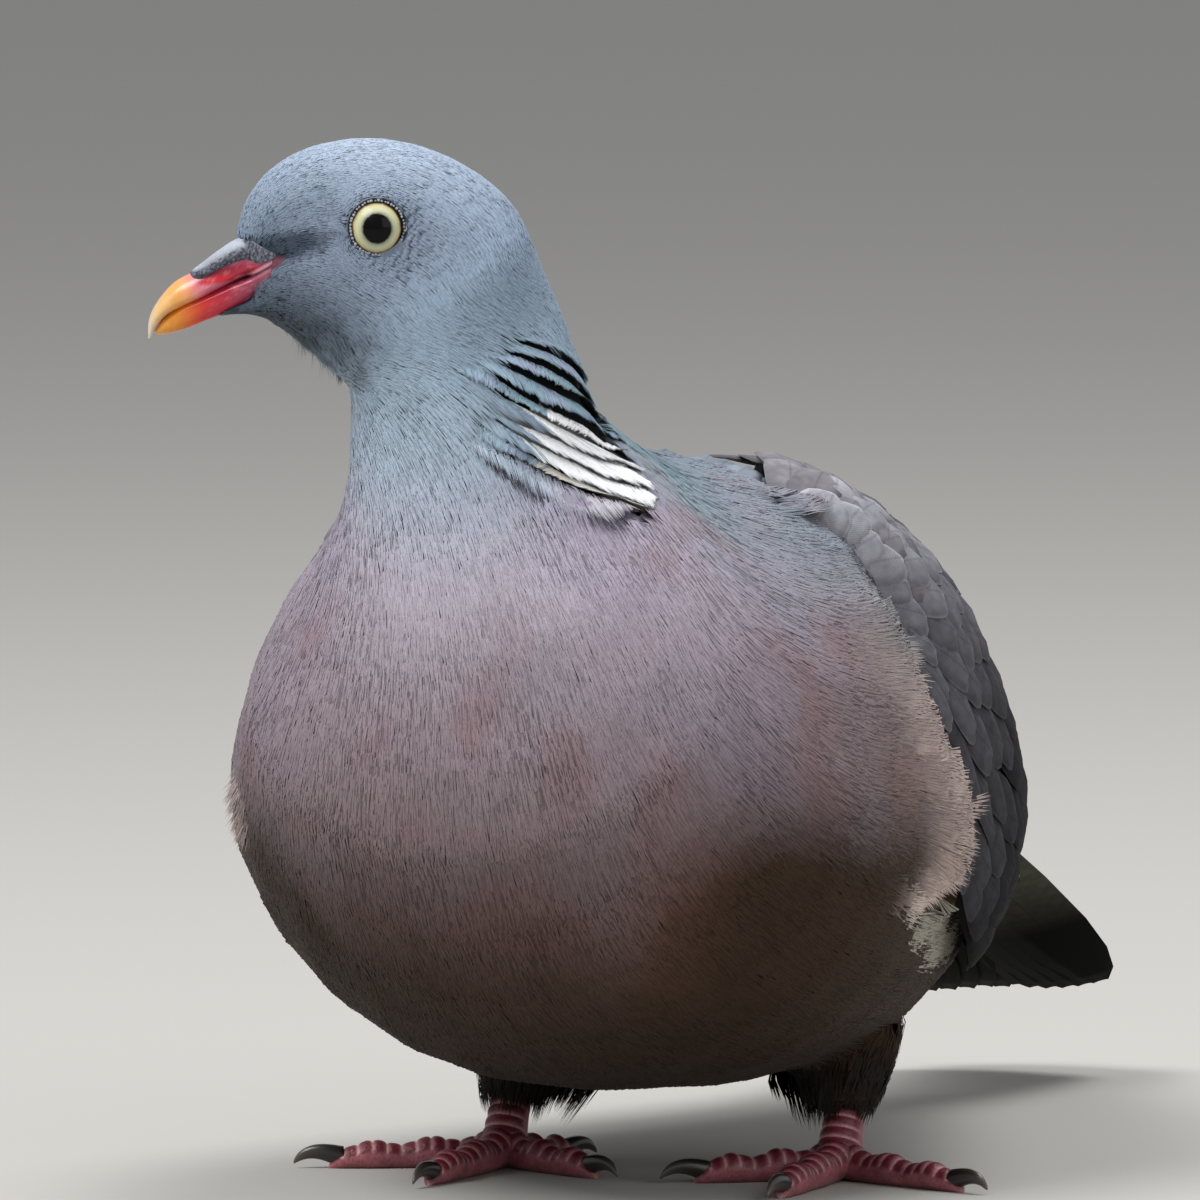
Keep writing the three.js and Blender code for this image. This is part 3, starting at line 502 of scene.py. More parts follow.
def marked(places, rows, angles):
    """The coat's colour with the bare gape, and the black roots, partly painted shadow, and the white bar of the
    neck's furrows.
    """
    beside = furrow_degrees(angles)
    back, up, _ = from_skull(places)
    gape_tone = mixed(np.tile(GAPE, (len(places), 1)), LORE * 0.5, up > np.interp(back, [-22, -16], [-6.3, -4.6]))
    colours = mixed(plumage(places, rows, angles, 0.25), gape_tone, bare_face(places, rows, 0.4))
    colours = mixed(colours, FURROW_ROOT_SHADE, inside(furrow_ring, rows, beside))
    return mixed(colours, WHITE * 0.6, inside(white_ring, rows, beside))


def colour_attribute(mesh, colours):
    """Keeps a colour for each corner of a mesh, which its material reads."""
    layer = mesh.color_attributes.new("markings", "FLOAT_COLOR", "POINT")
    full = np.ones((len(colours), 4), np.float32)
    full[:, :3] = colours
    layer.data.foreach_set("color", full.ravel())


skin_rows, skin_angles, skin_flow = lie_of(skin_places)
colour_attribute(skin.data, marked(skin_places, skin_rows, skin_angles) * 0.9)


def add(tree, kind, links=None, **settings):
    """Adds a node with its settings, and sets or links its inputs."""
    node = tree.nodes.new(kind)
    for name, value in settings.items():
        setattr(node, name, value)
    for socket, value in (links or {}).items():
        if isinstance(value, bpy.types.NodeSocket):
            tree.links.new(value, node.inputs[socket])
        else:
            node.inputs[socket].default_value = value
    return node


def new_material(name):
    """An empty material and its node tree."""
    material = bpy.data.materials.new(name)
    material.use_nodes = True
    material.node_tree.nodes.clear()
    return material, material.node_tree


def finish_material(tree, shader):
    """Leads a material's shader to its surface."""
    add(tree, "ShaderNodeOutputMaterial", {"Surface": shader.outputs["BSDF"]})


# Contour feathers: keratin barbs of a dry, soft coat, so rough with a faint silky sheen at grazing light.
# The markings come with the mesh; fine mottling of about 0.4 mm stands for the barbules.
plumage_material, tree = new_material("contour_feather_keratin")
marking = add(tree, "ShaderNodeAttribute", attribute_name="markings")
place = add(tree, "ShaderNodeTexCoord")
barbules = add(
    tree, "ShaderNodeTexNoise",
    {"Vector": place.outputs["Object"], "Scale": 2400.0, "Detail": 2.0},
)
mottle = add(tree, "ShaderNodeMapRange", {"Value": barbules.outputs["Fac"], "To Min": 0.78, "To Max": 1.22})
shade = add(
    tree, "ShaderNodeVectorMath",
    {0: marking.outputs["Color"], 1: mottle.outputs[0]}, operation="MULTIPLY",
)
shader = add(
    tree, "ShaderNodeBsdfPrincipled",
    {"Base Color": shade.outputs["Vector"], "Roughness": 0.66, "Sheen Weight": 0.06, "Sheen Roughness": 0.5,
     "Specular IOR Level": 0.12},
)
finish_material(tree, shader)


def finish_piece(piece, material, slot, *stands_for):
    """Gives a piece its smooth shading and finish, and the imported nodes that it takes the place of."""
    piece.data.polygons.foreach_set("use_smooth", [True] * len(piece.data.polygons))
    piece.data.materials.append(material)
    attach(piece, "root")
    if stands_for:
        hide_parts(*stands_for)


finish_piece(skin, plumage_material, "plumage_mauve", "torso", "neck", "head", "shin_left", "shin_right")

# ------------------------------------------------------------------ small feathers
# The coat: thousands of small feathers, each a fan of fine, tapering, three-sided barbs rooted in the skin
# and lying back along it. They are shortest on the face and longest on the flanks and the belly.
draw = np.random.default_rng(7)
skin.data.calc_loop_triangles()
corners = np.empty(len(skin.data.loop_triangles) * 3, np.int32)
skin.data.loop_triangles.foreach_get("vertices", corners)
corners = corners.reshape(-1, 3)
skin_bvh = BVHTree.FromPolygons([tuple(p) for p in skin_places], [tuple(int(v) for v in c) for c in corners])
triangle_places = skin_places[corners]
triangle_cross = np.cross(
    triangle_places[:, 1] - triangle_places[:, 0], triangle_places[:, 2] - triangle_places[:, 0]
)
triangle_area = np.linalg.norm(triangle_cross, axis=1) / 2
triangle_normal = unit(triangle_cross)
triangle_rows, triangle_angles, triangle_flow = (
    values[corners[:, 0]] for values in (skin_rows, skin_angles, skin_flow)
)

# From row to row of the body's line: spacing of the feathers, their length, half their width, and the width
# of one barb, in mm.
FEATHER_ROWS = [0, 3, 6, 10, 12, 14, 16, 19, 21.5, 23]
FEATHER_SPACING = [1.8, 1.6, 1.5, 1.4, 1.2, 1.0, 0.82, 0.7, 0.62, 0.52]
FEATHER_LENGTH = [11, 10.5, 9.8, 9, 7.2, 5.7, 4.5, 3.6, 2.7, 1.9]
FEATHER_HALF = [2.2, 2.1, 2.0, 1.8, 1.45, 1.15, 0.85, 0.68, 0.52, 0.4]
BARB_WIDTH = [0.37, 0.37, 0.38, 0.38, 0.35, 0.3, 0.24, 0.195, 0.165, 0.14]
coarser = 1.0

# Where the flank's feathers end over the folded wing, as a row of the body's line at an angle round it, and
# how high on the back the coat ends where the mantle's larger feathers begin.
FRINGE_ANGLES = [-17, -11, -3, 1, 4, 9, 18, 29, 36, 40, 45, 53, 60, 68, 76]
FRINGE_ROWS = [6.6, 6.3, 6.1, 6.2, 6.25, 6.5, 6.8, 6.9, 6.85, 6.83, 6.8, 6.45, 6.0, 5.5, 5.2]
MANTLE_ROWS = [2.4, 2.5, 5.6, 6.3, 6.6, 6.7]
MANTLE_ANGLES = [91, 61, 58, 66, 82, 91]


def bvh_of(node):
    """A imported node's surface in mm, to measure from."""
    part = copy_of(node)
    part.transform(Matrix.Scale(1 / MM, 4))
    tree = BVHTree.FromBMesh(part)
    part.free()
    return tree


wing_bvh = [bvh_of("wing_left"), bvh_of("wing_right")]


def off_eye(place):
    """How far a place is from the axis of the nearer eye, and the direction away from it."""
    side = 1 if (place - SKULL - STANCE) @ HEAD_LEFT > 0 else -1
    arm = place - eye_centres[side]
    arm = arm - (arm @ HEAD_LEFT) * HEAD_LEFT
    away = np.linalg.norm(arm)
    return away, arm / max(away, 1e-6)


def wing_over(place, normal):
    """The outermost point of a folded wing above a place on the skin, or None."""
    start = Vector(place + normal * 26)
    for tree in wing_bvh:
        hit = tree.ray_cast(start, Vector(-normal), 27.5)
        if hit[0] is not None:
            return np.array(hit[0])
    return None


def nearest_on_wing(place):
    """The nearest point of a folded wing, the direction out of it there, and how far off it is."""
    near, face, _, away = wing_bvh[0 if place[0] > STANCE[0] else 1].find_nearest(Vector(place))
    return np.array(near), np.array(face), away


def spread_roots():
    """Places for feathers on the skin, evenly spread at the spacing of their row."""
    spacing = np.interp(triangle_rows, FEATHER_ROWS, FEATHER_SPACING) * coarser
    wanted = triangle_area / spacing**2
    count = int(wanted.sum() * 4)
    chosen = draw.choice(len(corners), count, p=wanted / wanted.sum())
    u, v = draw.random((2, count))
    over = u + v > 1
    u[over], v[over] = 1 - u[over], 1 - v[over]
    a, b, c = (triangle_places[chosen, k] for k in range(3))
    places = a + (b - a) * u[:, None] + (c - a) * v[:, None]
    near = KDTree(count)
    for i, p in enumerate(places):
        near.insert(p, i)
    near.balance()
    free = np.ones(count, bool)
    kept = []
    for i in range(count):
        if not free[i]:
            continue
        kept.append(i)
        for _, j, _ in near.find_range(places[i], 0.8 * spacing[chosen[i]]):
            free[j] = False
    kept = np.array(kept)
    rows, angles = triangle_rows[chosen[kept]], triangle_angles[chosen[kept]]
    bare = bare_face(places[kept], rows) | inside(furrow_ring, rows, furrow_degrees(angles))
    bare |= beside_degrees(angles) > np.interp(rows, MANTLE_ROWS, MANTLE_ANGLES)
    kept = kept[~bare]
    return places[kept], chosen[kept]


root_places, root_triangles = spread_roots()
SPINE = np.array([0.0, 0.35, 0.7, 1.0])


SHIN_X, SHIN_Y, SHIN_TOP = (32, -27.5), -36.6, 28  # middles and upper end of the two feathered shins
FOOT_X, FOOT_Y = (29.5, -27.5), -46.6  # where the shins' tufts hang down to


def lie_feathers():
    """Lays each feather's spine along the skin, over the wing's edge where it meets one."""
    spines = []
    for place, triangle in zip(root_places, root_triangles):
        row, angle = triangle_rows[triangle], triangle_angles[triangle]
        normal, bend = triangle_normal[triangle], triangle_flow[triangle]
        length = np.interp(row, FEATHER_ROWS, FEATHER_LENGTH) * draw.uniform(0.85, 1.15)
        start, to_edge, eye_gap, over = place, 99.0, 99.0, False
        if 2.2 < row < 11:
            beside = float(beside_degrees(angle))
            last = np.interp(beside, FRINGE_ANGLES, FRINGE_ROWS)
            above = wing_over(place, normal)
            if beside < 2 and 3.8 < row < last - 0.1 and (above is None or (above - place) @ normal < 6):
                pass
            elif beside > -17 and row < 9:
                if last - 0.3 < row < last or (row < last and above is not None):
                    continue
                over = row > last and beside < 64
            elif above is not None and (above - place) @ normal < 3:
                continue
            if over:
                to_edge = float(np.linalg.norm(body_point(np.array(last), angle) - place))
                if to_edge < 4.2:
                    continue
                length = min(length, to_edge + draw.uniform(-0.8, 1.0))
                if above is not None and (above - place) @ normal > 1.5:
                    start = above - normal * 1.8
        beside_shin = min(abs(place[0] - SHIN_X[0]), abs(place[0] - SHIN_X[1]))
        shin = place[2] < SHIN_TOP and math.hypot(place[1] - SHIN_Y, beside_shin) < 15
        if row > 15:
            eye_gap, outward = off_eye(place)
            if eye_gap < 4.7:
                continue
            length = min(length, 1.2 + 0.8 * (eye_gap - 4.7))
        if shin:
            clump = 0.5 + 0.9 * noise.noise(Vector(place) * 0.45)
            clear = place[2] - 7 - 7 * max(clump, 0) - 3 * draw.random() ** 2  # above the bare shank
            length = min(length, clear / 0.95) * draw.uniform(0.8, 1.05)
            if length < 1.5:
                continue
            foot = np.array([FOOT_X[0] if place[0] > 2 else FOOT_X[1], FOOT_Y])
        points, ups, here = [start], [normal], place
        for step in np.diff(SPINE) * length:
            if shin:
                inward = foot - here[:2]
                bend = np.array([*(0.06 * inward), -1.0])
                if here[2] < 19:
                    here = here + bend * step
                    points.append(here)
                    ups.append(normal)
                    continue
            if eye_gap < 11:
                inward = min(0.0, float(bend @ outward))
                bend = bend - inward * outward * blend_step(11 - eye_gap, 0, 5)
            bend = bend - (bend @ normal) * normal
            here = here + bend / max(np.linalg.norm(bend), 1e-6) * step
            hit, up, triangle, _ = skin_bvh.find_nearest(here)
            reached = np.array(hit)
            if over:
                near, face, away = nearest_on_wing(here)
                slid = reached - here
                slid = np.linalg.norm(slid - (slid @ normal) * normal)
                if away < 5 and face @ normal > 0.3 and (slid > 1 or (near - reached) @ normal > 1.5):
                    here, normal, bend = near - face * 0.6, face, triangle_flow[triangle]
                    points.append(here)
                    ups.append(normal)
                    continue
            here, normal, bend = reached, np.array(up), triangle_flow[triangle]
            points.append(here)
            ups.append(normal)
        steps = np.linalg.norm(np.diff(points[1:] if over else points, axis=0), axis=1)
        if over and steps.max() > 0.52 * length:
            continue
        edge = to_edge - length if over else 99.0
        spines.append((points, ups, row, angle, float(coat_depth(row)), edge, length, float(shin)))
    return [np.array(column) for column in zip(*spines)]


spine_points, spine_ups, f_row, f_angle, f_depth, f_edge, f_long, f_shin = lie_feathers()
spine_ahead = unit(np.gradient(spine_points, axis=1))
spine_right = unit(np.cross(spine_ahead, spine_ups))
spine_ups = unit(np.cross(spine_right, spine_ahead))

# A barb has a root, a ring of three corners about half way along, left, right and up, and a tip.
BARB_FACES = np.array([(0, 3, 1), (0, 2, 3), (0, 1, 2), (4, 1, 3), (4, 3, 2), (4, 2, 1)])
FLANK_CREAM, FLANK_GREY = linear("#e0cbc4"), linear("#9c9da0")
# The near black of the shins' lower tufts is painted shade under the belly.
SHIN_TUFT_SHADE, SHIN_PALE = linear("#1f1915"), linear("#554b42")
FLUFF = np.array([-51.0, -108.0, 62.0])  # where the right flank's feathers stand out, loose and pale
FLUFF_SIZE = np.array([5.0, 9.0, 7.0])


def barb_corners(root, middle, tip, right, up, width, thick):
    """Places of a barb's five corners."""
    return np.stack([root, middle - right * width / 2, middle + right * width / 2, middle + up * thick, tip], 1)


def barb_normals(up, right):
    """Directions for the shading of a barb's corners: near the coat's own, so that barbs blend into it."""
    return np.stack([up, unit(up - 0.4 * right), unit(up + 0.4 * right), up, up], 1)


def along_spine(values, share):
    """Values given at the spine's stations, read at each feather's own share of its length."""
    i = np.clip(np.searchsorted(SPINE, share, side="right") - 1, 0, len(SPINE) - 2)
    t = ((share - SPINE[i]) / (SPINE[i + 1] - SPINE[i]))[:, None]
    rows = np.arange(len(values))
    return values[rows, i] * (1 - t) + values[rows, i + 1] * t


def barbs_of(chosen, count):
    """Corner places and colours of all the barbs of the chosen feathers."""
    n = len(chosen)
    points, ups, rights = spine_points[chosen], spine_ups[chosen], spine_right[chosen]
    rows, edge, shin = f_row[chosen], f_edge[chosen], f_shin[chosen]
    half = np.interp(rows, FEATHER_ROWS, FEATHER_HALF)
    width = np.interp(rows, FEATHER_ROWS, BARB_WIDTH) * coarser * (1 - 0.3 * (edge < 3))
    tips = points[:, -1]
    colour = plumage(tips, *lie_of(tips)[:2])
    beside = beside_degrees(f_angle[chosen])
    rim = mixed(np.tile(FLANK_CREAM, (n, 1)), FLANK_GREY, blend_step(beside, 12, 26))
    here_pale = 0.98 * blend_step(42 - beside, 0, 8) * draw.uniform(0.75, 1.08, n)
    tip_pale = here_pale * np.clip(1 - edge / 17, 0, 1) ** 1.4
    side_pale = here_pale * np.clip(1.05 - (edge + 0.5 * f_long[chosen]) / 16, 0, 1) ** 1.4
    fluff = blend_step(1 - np.linalg.norm((tips - FLUFF) / FLUFF_SIZE, axis=1), 0, 0.5)
    colour = mixed(colour, FLANK_CREAM, 0.45 * fluff)
    colour = mixed(colour, SHIN_PALE, 0.6 * shin * blend_step(tips[:, 2], 18, 28))
    # Painted shade: the shins' tufts darken to near black towards their low ends.
    colour = mixed(colour, SHIN_TUFT_SHADE, shin * blend_step(21 - tips[:, 2], 0, 7))
    back, up, _ = from_skull(tips)
    chin = 3.8 * blend_step(1 - np.hypot((back + 9) / 11, (up + 21) / 6), 0, 0.6)
    chin = chin * blend_step(noise_at(tips, 2.2, 7), -0.2, 0.6)
    # How ruffled the coat is: it spreads the barbs' tones and, as painted shade, darkens their sides.
    ruffle_shade = 0.5 + 0.5 * noise_at(tips, 6.0, 3)
    fine_line = np.interp(rows, [3, 6, 12, 14, 16, 23], [0.15, 0.42, 0.4, 0.26, 0.22, 0.16])
    fine_line = fine_line * (0.35 + 0.8 * blend_step(noise_at(tips, 12.0, 18), -0.45, 0.45))
    tone = 1 + 0.05 * noise_at(tips, 2.2, 4) + draw.normal(0, 0.025, n)
    lift = f_depth[chosen] * (1 + 0.05 * noise_at(tips, 4.5, 5))
    places, colours, normals = [], [], []
    for k in range(count):
        w = (2 * (k + 0.5) / count - 1) + draw.normal(0, 0.08, n)
        end = np.clip(1 - 0.2 * w * w + draw.normal(0, 0.04 + 0.05 * (edge < 5), n), 0.4, 1)
        middle = 0.42 * end
        root = points[:, 0] + rights[:, 0] * (0.1 * w * half)[:, None] - ups[:, 0] * 0.25
        up, right = along_spine(ups, middle), along_spine(rights, middle)
        mid = along_spine(points, middle) + right * (0.8 * w * half)[:, None]
        mid = mid + up * (lift * draw.normal(0.86, 0.04, n))[:, None]
        tip_lift = lift * draw.normal(0.87, 0.04, n) + 2.2 * fluff * draw.random(n) + chin * draw.random(n) ** 2
        tip = along_spine(points, end) + along_spine(ups, end) * tip_lift[:, None]
        tip = tip + along_spine(rights, end) * ((1.05 * w + draw.normal(0, 0.06, n)) * half)[:, None]
        places.append(barb_corners(root, mid, tip, right, up, width[:, None], width[:, None] * 0.25))
        normals.append(barb_normals(up, right))
        # Painted shade: each barb's root is darker, and its left and right corners darker than its ridge, more where
        # the coat is ruffled.
        line = 1.05 - fine_line if k % 3 == 1 else 1.05
        lit = colour * (tone * line * draw.normal(1, 0.02 + 0.03 * ruffle_shade))[:, None]
        side = lit * (0.98 - 0.16 * ruffle_shade)[:, None]
        side, middle_lit = mixed(side, rim * 0.9, side_pale), mixed(lit, rim * 0.9, side_pale)
        colours.append(np.stack([colour * 0.82, side, side, middle_lit, mixed(lit, rim, tip_pale)], 1))
    return np.stack(places, 1), np.stack(colours, 1), np.stack(normals, 1)


def mesh_of_faces(name, places, faces, colours, uvs, normals=None):
    """A piece from arrays: places in mm, faces, a colour for each corner and its place on the bake map."""
    mesh = bpy.data.meshes.new(name)
    mesh.vertices.add(len(places))
    mesh.vertices.foreach_set("co", (places * MM).astype(np.float32).ravel())
    mesh.loops.add(faces.size)
    mesh.loops.foreach_set("vertex_index", faces.astype(np.int32).ravel())
    mesh.polygons.add(len(faces))
    mesh.polygons.foreach_set("loop_start", np.arange(0, faces.size, faces.shape[1], dtype=np.int32))
    mesh.update(calc_edges=True)
    if normals is not None:
        layer = mesh.attributes.new("custom_normal", "FLOAT_VECTOR", "POINT")
        layer.data.foreach_set("vector", normals.astype(np.float32).ravel())
    colour_attribute(mesh, colours)
    layer = mesh.uv_layers.new(name="OFBake")
    layer.data.foreach_set("uv", uvs[faces.ravel()].astype(np.float32).ravel())
    piece = bpy.data.objects.new(name, mesh)
    bpy.context.scene.collection.objects.link(piece)
    return piece


TUFT_PATCH = 0.003  # how wide a feather's patch is on the bake map


def barb_piece(name, places, colours, normals, root_uv, slot):
    """A piece from barbs: feathers, then barbs of one feather, then corners of one barb."""
    n, count = places.shape[:2]
    faces = BARB_FACES[None] + 5 * np.arange(n * count)[:, None, None]
    column = (np.arange(count)[:, None] + np.array([0.4, 0, 0.8, 0.4, 0.4])) / count
    line = np.array([0, 0.5, 0.5, 0.6, 1.0]) * np.ones((count, 1))
    patch = np.stack([column - 0.5, line - 0.5], -1) * TUFT_PATCH
    uvs = (root_uv[:, None, None] + patch[None]).reshape(-1, 2)
    corners = places.reshape(-1, 3), faces.reshape(-1, 3), colours.reshape(-1, 3)
    piece = mesh_of_faces(name, *corners, uvs, normals.reshape(-1, 3))
    finish_piece(piece, plumage_material, slot)


def skin_uv(rows, angles):
    """Places on the bake map: round the body to the right, and up it."""
    return 0.01 + 0.98 * np.stack([(angles / math.pi + 1) / 2, rows / (LAST_ROW + 1)], 1)


def coat_piece(name, chosen, count, slot):
    """One piece of the coat from the chosen feathers, each with the same number of barbs."""
    barb_piece(name, *barbs_of(chosen, count), skin_uv(f_row[chosen], f_angle[chosen]), slot)


everywhere = np.arange(len(f_row))
on_head_part = f_row > 15.9
on_neck_part = (f_row > 12) & ~on_head_part
left_half = np.cos(f_angle) > 0
body_feathers = everywhere[~on_head_part & ~on_neck_part]
body_feathers = body_feathers[np.argsort(f_angle[body_feathers])]
coat_piece("coat_head_left", everywhere[on_head_part & left_half], 6, "plumage_blue_grey")
coat_piece("coat_head_right", everywhere[on_head_part & ~left_half], 6, "plumage_blue_grey")
coat_piece("coat_neck", everywhere[on_neck_part], 7, "plumage_blue_grey")
BODY_PIECES = 5
for k, share in enumerate(np.array_split(body_feathers, BODY_PIECES)):
    coat_piece(f"coat_body_{k + 1}", share, 10, "plumage_mauve")

# ------------------------------------------------------------------ neck furrows
# On each side of the neck the feathers lie in strips, blue-green at their tips and black at their roots, and
# the lower strips are white. Each strip ends in a jagged edge that stands over the next one's black roots.
# That black is partly the feathers' dark bases and partly painted shadow under the tips above it.
FURROW_GREEN, FURROW_LILAC, FURROW_BLACK_SHADE = linear("#7e9ba6"), linear("#8b95ac"), linear("#07090b")
# The comb's shade is painted shadow: dark strokes under the last strip's edge.
COMB_SHADE = linear("#3f3c48")  # the dark strokes in the last strip's edge
BARB_STEP = 0.032  # mm along a strip from one barb to the next
# Share of each strip's width that shows black, dark roots with painted shadow, at five places along it.
GAP_AT = [0, 0.25, 0.5, 0.75, 1]
GAPS = [
    [0.1, 0.14, 0.26, 0.4, 0.4], [0.1, 0.17, 0.28, 0.42, 0.4], [0.1, 0.18, 0.28, 0.42, 0.4],
    [0.08, 0.17, 0.3, 0.4, 0.4], [0.08, 0.17, 0.24, 0.36, 0.4], [0.1, 0.18, 0.14, 0.08, 0.1],
    [0.1, 0.13, 0.05, 0.05, 0.02], [0.09, 0.1, 0.03, 0.04, 0.02], [0.03, 0.05, 0.03, 0.04, 0.03], [0, 0, 0, 0, 0],
]


def furrow_place(k, share):
    """Row and angle at shares of a furrow's length."""
    here = smooth_rows(np.array(FURROWS[k], float), share * (len(FURROWS[k]) - 1))
    return here[:, 0], np.radians(here[:, 1])


def over_body(rows, angles, lift):
    """Points above the body's surface, and the outward direction there."""
    place, out, _ = lie_at(body_point, rows, angles)
    return place + out * lift[..., None], out


def strip_barbs(k, side):
    """The barbs of one strip, on the left side for 1 and on the right for -1."""
    upper, _ = over_body(*furrow_place(k, np.linspace(0, 1, 60)), np.zeros(60))
    length = np.linalg.norm(np.diff(upper, axis=0), axis=1).sum()
    n = int(length / BARB_STEP / coarser)
    s = np.sort(draw.random(n))
    last = k == len(FURROWS) - 2
    slant = (1.2 if last else 1.8 if k > 3 else 2.4) / length * np.minimum(1, 4 * (1 - s) + 0.15)
    rows_a, angles_a = furrow_place(k, np.clip(s - slant, 0, 1))
    rows_b, angles_b = furrow_place(k + 1, np.clip(s + slant, 0, 1))
    layer = draw.random(n)
    beyond = 1.24 - 0.26 * np.clip(np.interp(s, GAP_AT, GAPS[min(k + 1, 9)]) / 0.1, 0, 1)
    narrow = 1 - 0.75 * blend_step(s, 0.86, 1)
    shadow_stroke = np.zeros(n, bool)
    # Painted shadow: some barbs of the last strip reach further, lie lower and take the comb's dark shade.
    if last:
        shadow_stroke = draw.random(n) < 0.4 * blend_step(s, 0.05, 0.3)
        beyond = beyond + 0.5 * shadow_stroke
        narrow = 1 - 0.9 * blend_step(s, 0.72, 1) - 0.4 * (1 - blend_step(s, 0, 0.2))
    black = np.interp(s, GAP_AT, GAPS[k]) * (1 + 0.25 * noise_at(upper[(s * 59).astype(int)], 1.5, 9))
    sunk = 0.9 * (1 - blend_step(s, 0, 0.22)) + 0.5 * blend_step(s, 0.9, 1)

    def ragged(size, shift):
        """Noise along the strip, with features of about the given size in mm."""
        line = np.linspace(0, length, 400)[:, None] * [1, 0, 0] + [0, 9 * k, shift]
        return np.interp(s, np.linspace(0, 1, 400), noise_at(line, size, 6))

    def place(share, lift):
        """Places at a share of the strip's width, the outward direction there, and their rows and angles."""
        rows, angles = rows_a + (rows_b - rows_a) * share, angles_a + (angles_b - angles_a) * share
        angles = angles if side > 0 else math.pi - angles - FAR_SIDE_SHIFT
        return (*over_body(rows, angles, lift - sunk), rows, angles)

    jag = 1.2 * ragged(0.45, 0) + ragged(1.6, 3) + draw.normal(0, 0.5 if last else 0.15, n)
    root = place(0.02 + 0 * s, np.full(n, -1.7))[0]
    middle, up, rows, angles = place((black + 0.04 + 0.5 * layer * (1 - black)) * narrow, -0.45 + 0.3 * layer)
    tip, _, rows, angles = place((beyond + 0.14 * jag) * narrow, 0.1 + 0.3 * layer - 0.25 * shadow_stroke)
    right = unit(np.cross(unit(tip - root), up))
    up = unit(np.cross(right, unit(tip - root)))
    width = np.full((n, 1), 0.24 * coarser)
    white = blend_step(s + 0.055 * jag, WHITE_FROM[k] - 0.015, WHITE_FROM[k] + 0.015)
    colour = mixed(FURROW_LILAC, FURROW_GREEN, np.clip(0.55 + 0.9 * noise_at(middle, 5.0, 8), 0, 1))
    colour = mixed(colour, plumage(tip, rows, angles), blend_step(0.3 - s, 0, 0.3) * 0.9)
    if last:
        colour = mixed(plumage(root, *place(0 * s, 0 * s)[2:]), CREAM, 0.05 + blend_step(s, 0.35, 0.7) * 0.2)
    colour = mixed(colour, CREAM if k == len(FURROWS) - 3 else WHITE, white)
    colour = mixed(colour, COMB_SHADE, shadow_stroke)
    # Painted shade on each barb: a dark root, near black in the upper strips, sides darker than the ridge, lower
    # layers darker than upper ones.
    dark = colour * 0.5
    if not last:
        dark = mixed(np.tile(FURROW_BLACK_SHADE, (n, 1)), colour * 0.78, white * (0.2 if k == 4 else 1.0))
    grain = 0.12 * (1 - 0.7 * white[:, None])
    colour = colour * np.where(draw.random(n) < 0.12 - 0.07 * white, 0.5, 1.0)[:, None]
    lit = colour * (1 + grain * draw.normal(0, 1, (n, 1))) * (0.92 + 0.1 * layer[:, None])
    colours = np.stack([dark, lit * 0.74, lit * 0.84, lit, lit * 1.05], 1)
    corners = barb_corners(root, middle, tip, right, up, width, width * 0.25)
    return corners, colours, barb_normals(up, right), skin_uv(rows, angles)


for side, side_name in ((1, "left"), (-1, "right")):
    strips = [np.concatenate(parts) for parts in zip(*[strip_barbs(k, side) for k in range(len(FURROWS) - 1)])]
    strips = [*(part[:, None] for part in strips[:3]), strips[3]]
    barb_piece(f"neck_furrows_{side_name}", *strips, "plumage_blue_grey")

# ------------------------------------------------------------------ folded wings
# Each wing is a dark bed of quills under tiers of stiff, overlapping feathers: long ones that run to the
# wing's tip, small scale-like coverts with pale rims above them, and the soft scapulars over its top. The bed is
# painted darker than the quills, as the shade in the gaps between the feathers.
VANE_ALONG = np.array([0, 0.3, 0.55, 0.75, 0.88, 0.96, 1.0])
VANE_WIDE = np.array([0.62, 0.96, 1.0, 0.93, 0.76, 0.5, 0.18])
VANE_ACROSS = np.array([-1, -0.5, 0, 0.5, 1.0])


def vane_grid(surface, start, end, half, lifts, tilt, cup=0.35):
    """The outer face of each vane of a tier, on a surface: a grid of places for every vane."""
    t = VANE_ALONG[None, :, None]
    w = VANE_ACROSS[None, None, :]
    rise = lifts[0] + (lifts[1] - lifts[0]) * t**0.8
    row = start[:, 0, None, None] + (end - start)[:, 0, None, None] * t + 0 * w
    down = start[:, 1, None, None] + (end - start)[:, 1, None, None] * t + 0 * w
    across = half[:, None, None] * VANE_WIDE[None, :, None] * w
    _, _, spread = surface(row, down)
    place, out, _ = surface(row, down + across / spread)
    lift = rise + tilt * across - cup * w * w * (0.4 + 0.6 * t)
    return place + out * lift[..., None], out


def closed_sheets(outer, inner):
    """Faces that close each pair of grids into one thin solid; the inner grids' corners follow the outer's."""
    n, rows, columns = outer.shape[:3]
    cell = rows * columns
    index = np.arange(cell).reshape(rows, columns)
    a, b, c, d = index[:-1, :-1], index[:-1, 1:], index[1:, 1:], index[1:, :-1]
    over = np.stack([a, b, c, d], -1).reshape(-1, 4)
    rim = np.concatenate([index[0, :], index[1:, -1], index[-1, -2::-1], index[-2:0:-1, 0]])
    nxt = np.roll(rim, -1)
    faces = np.concatenate([over, over[:, ::-1] + cell, np.stack([rim, rim + cell, nxt + cell, nxt], -1)])
    faces = (faces[None] + 2 * cell * np.arange(n)[:, None, None]).reshape(-1, 4)
    places = np.concatenate([outer.reshape(n, cell, 3), inner.reshape(n, cell, 3)], 1).reshape(-1, 3)
    x = places[faces]
    volume = np.einsum("ij,ij->i", x[:, 0], np.cross(x[:, 1], x[:, 2]) + np.cross(x[:, 2], x[:, 3])).sum()
    return places, faces if volume > 0 else faces[:, ::-1]


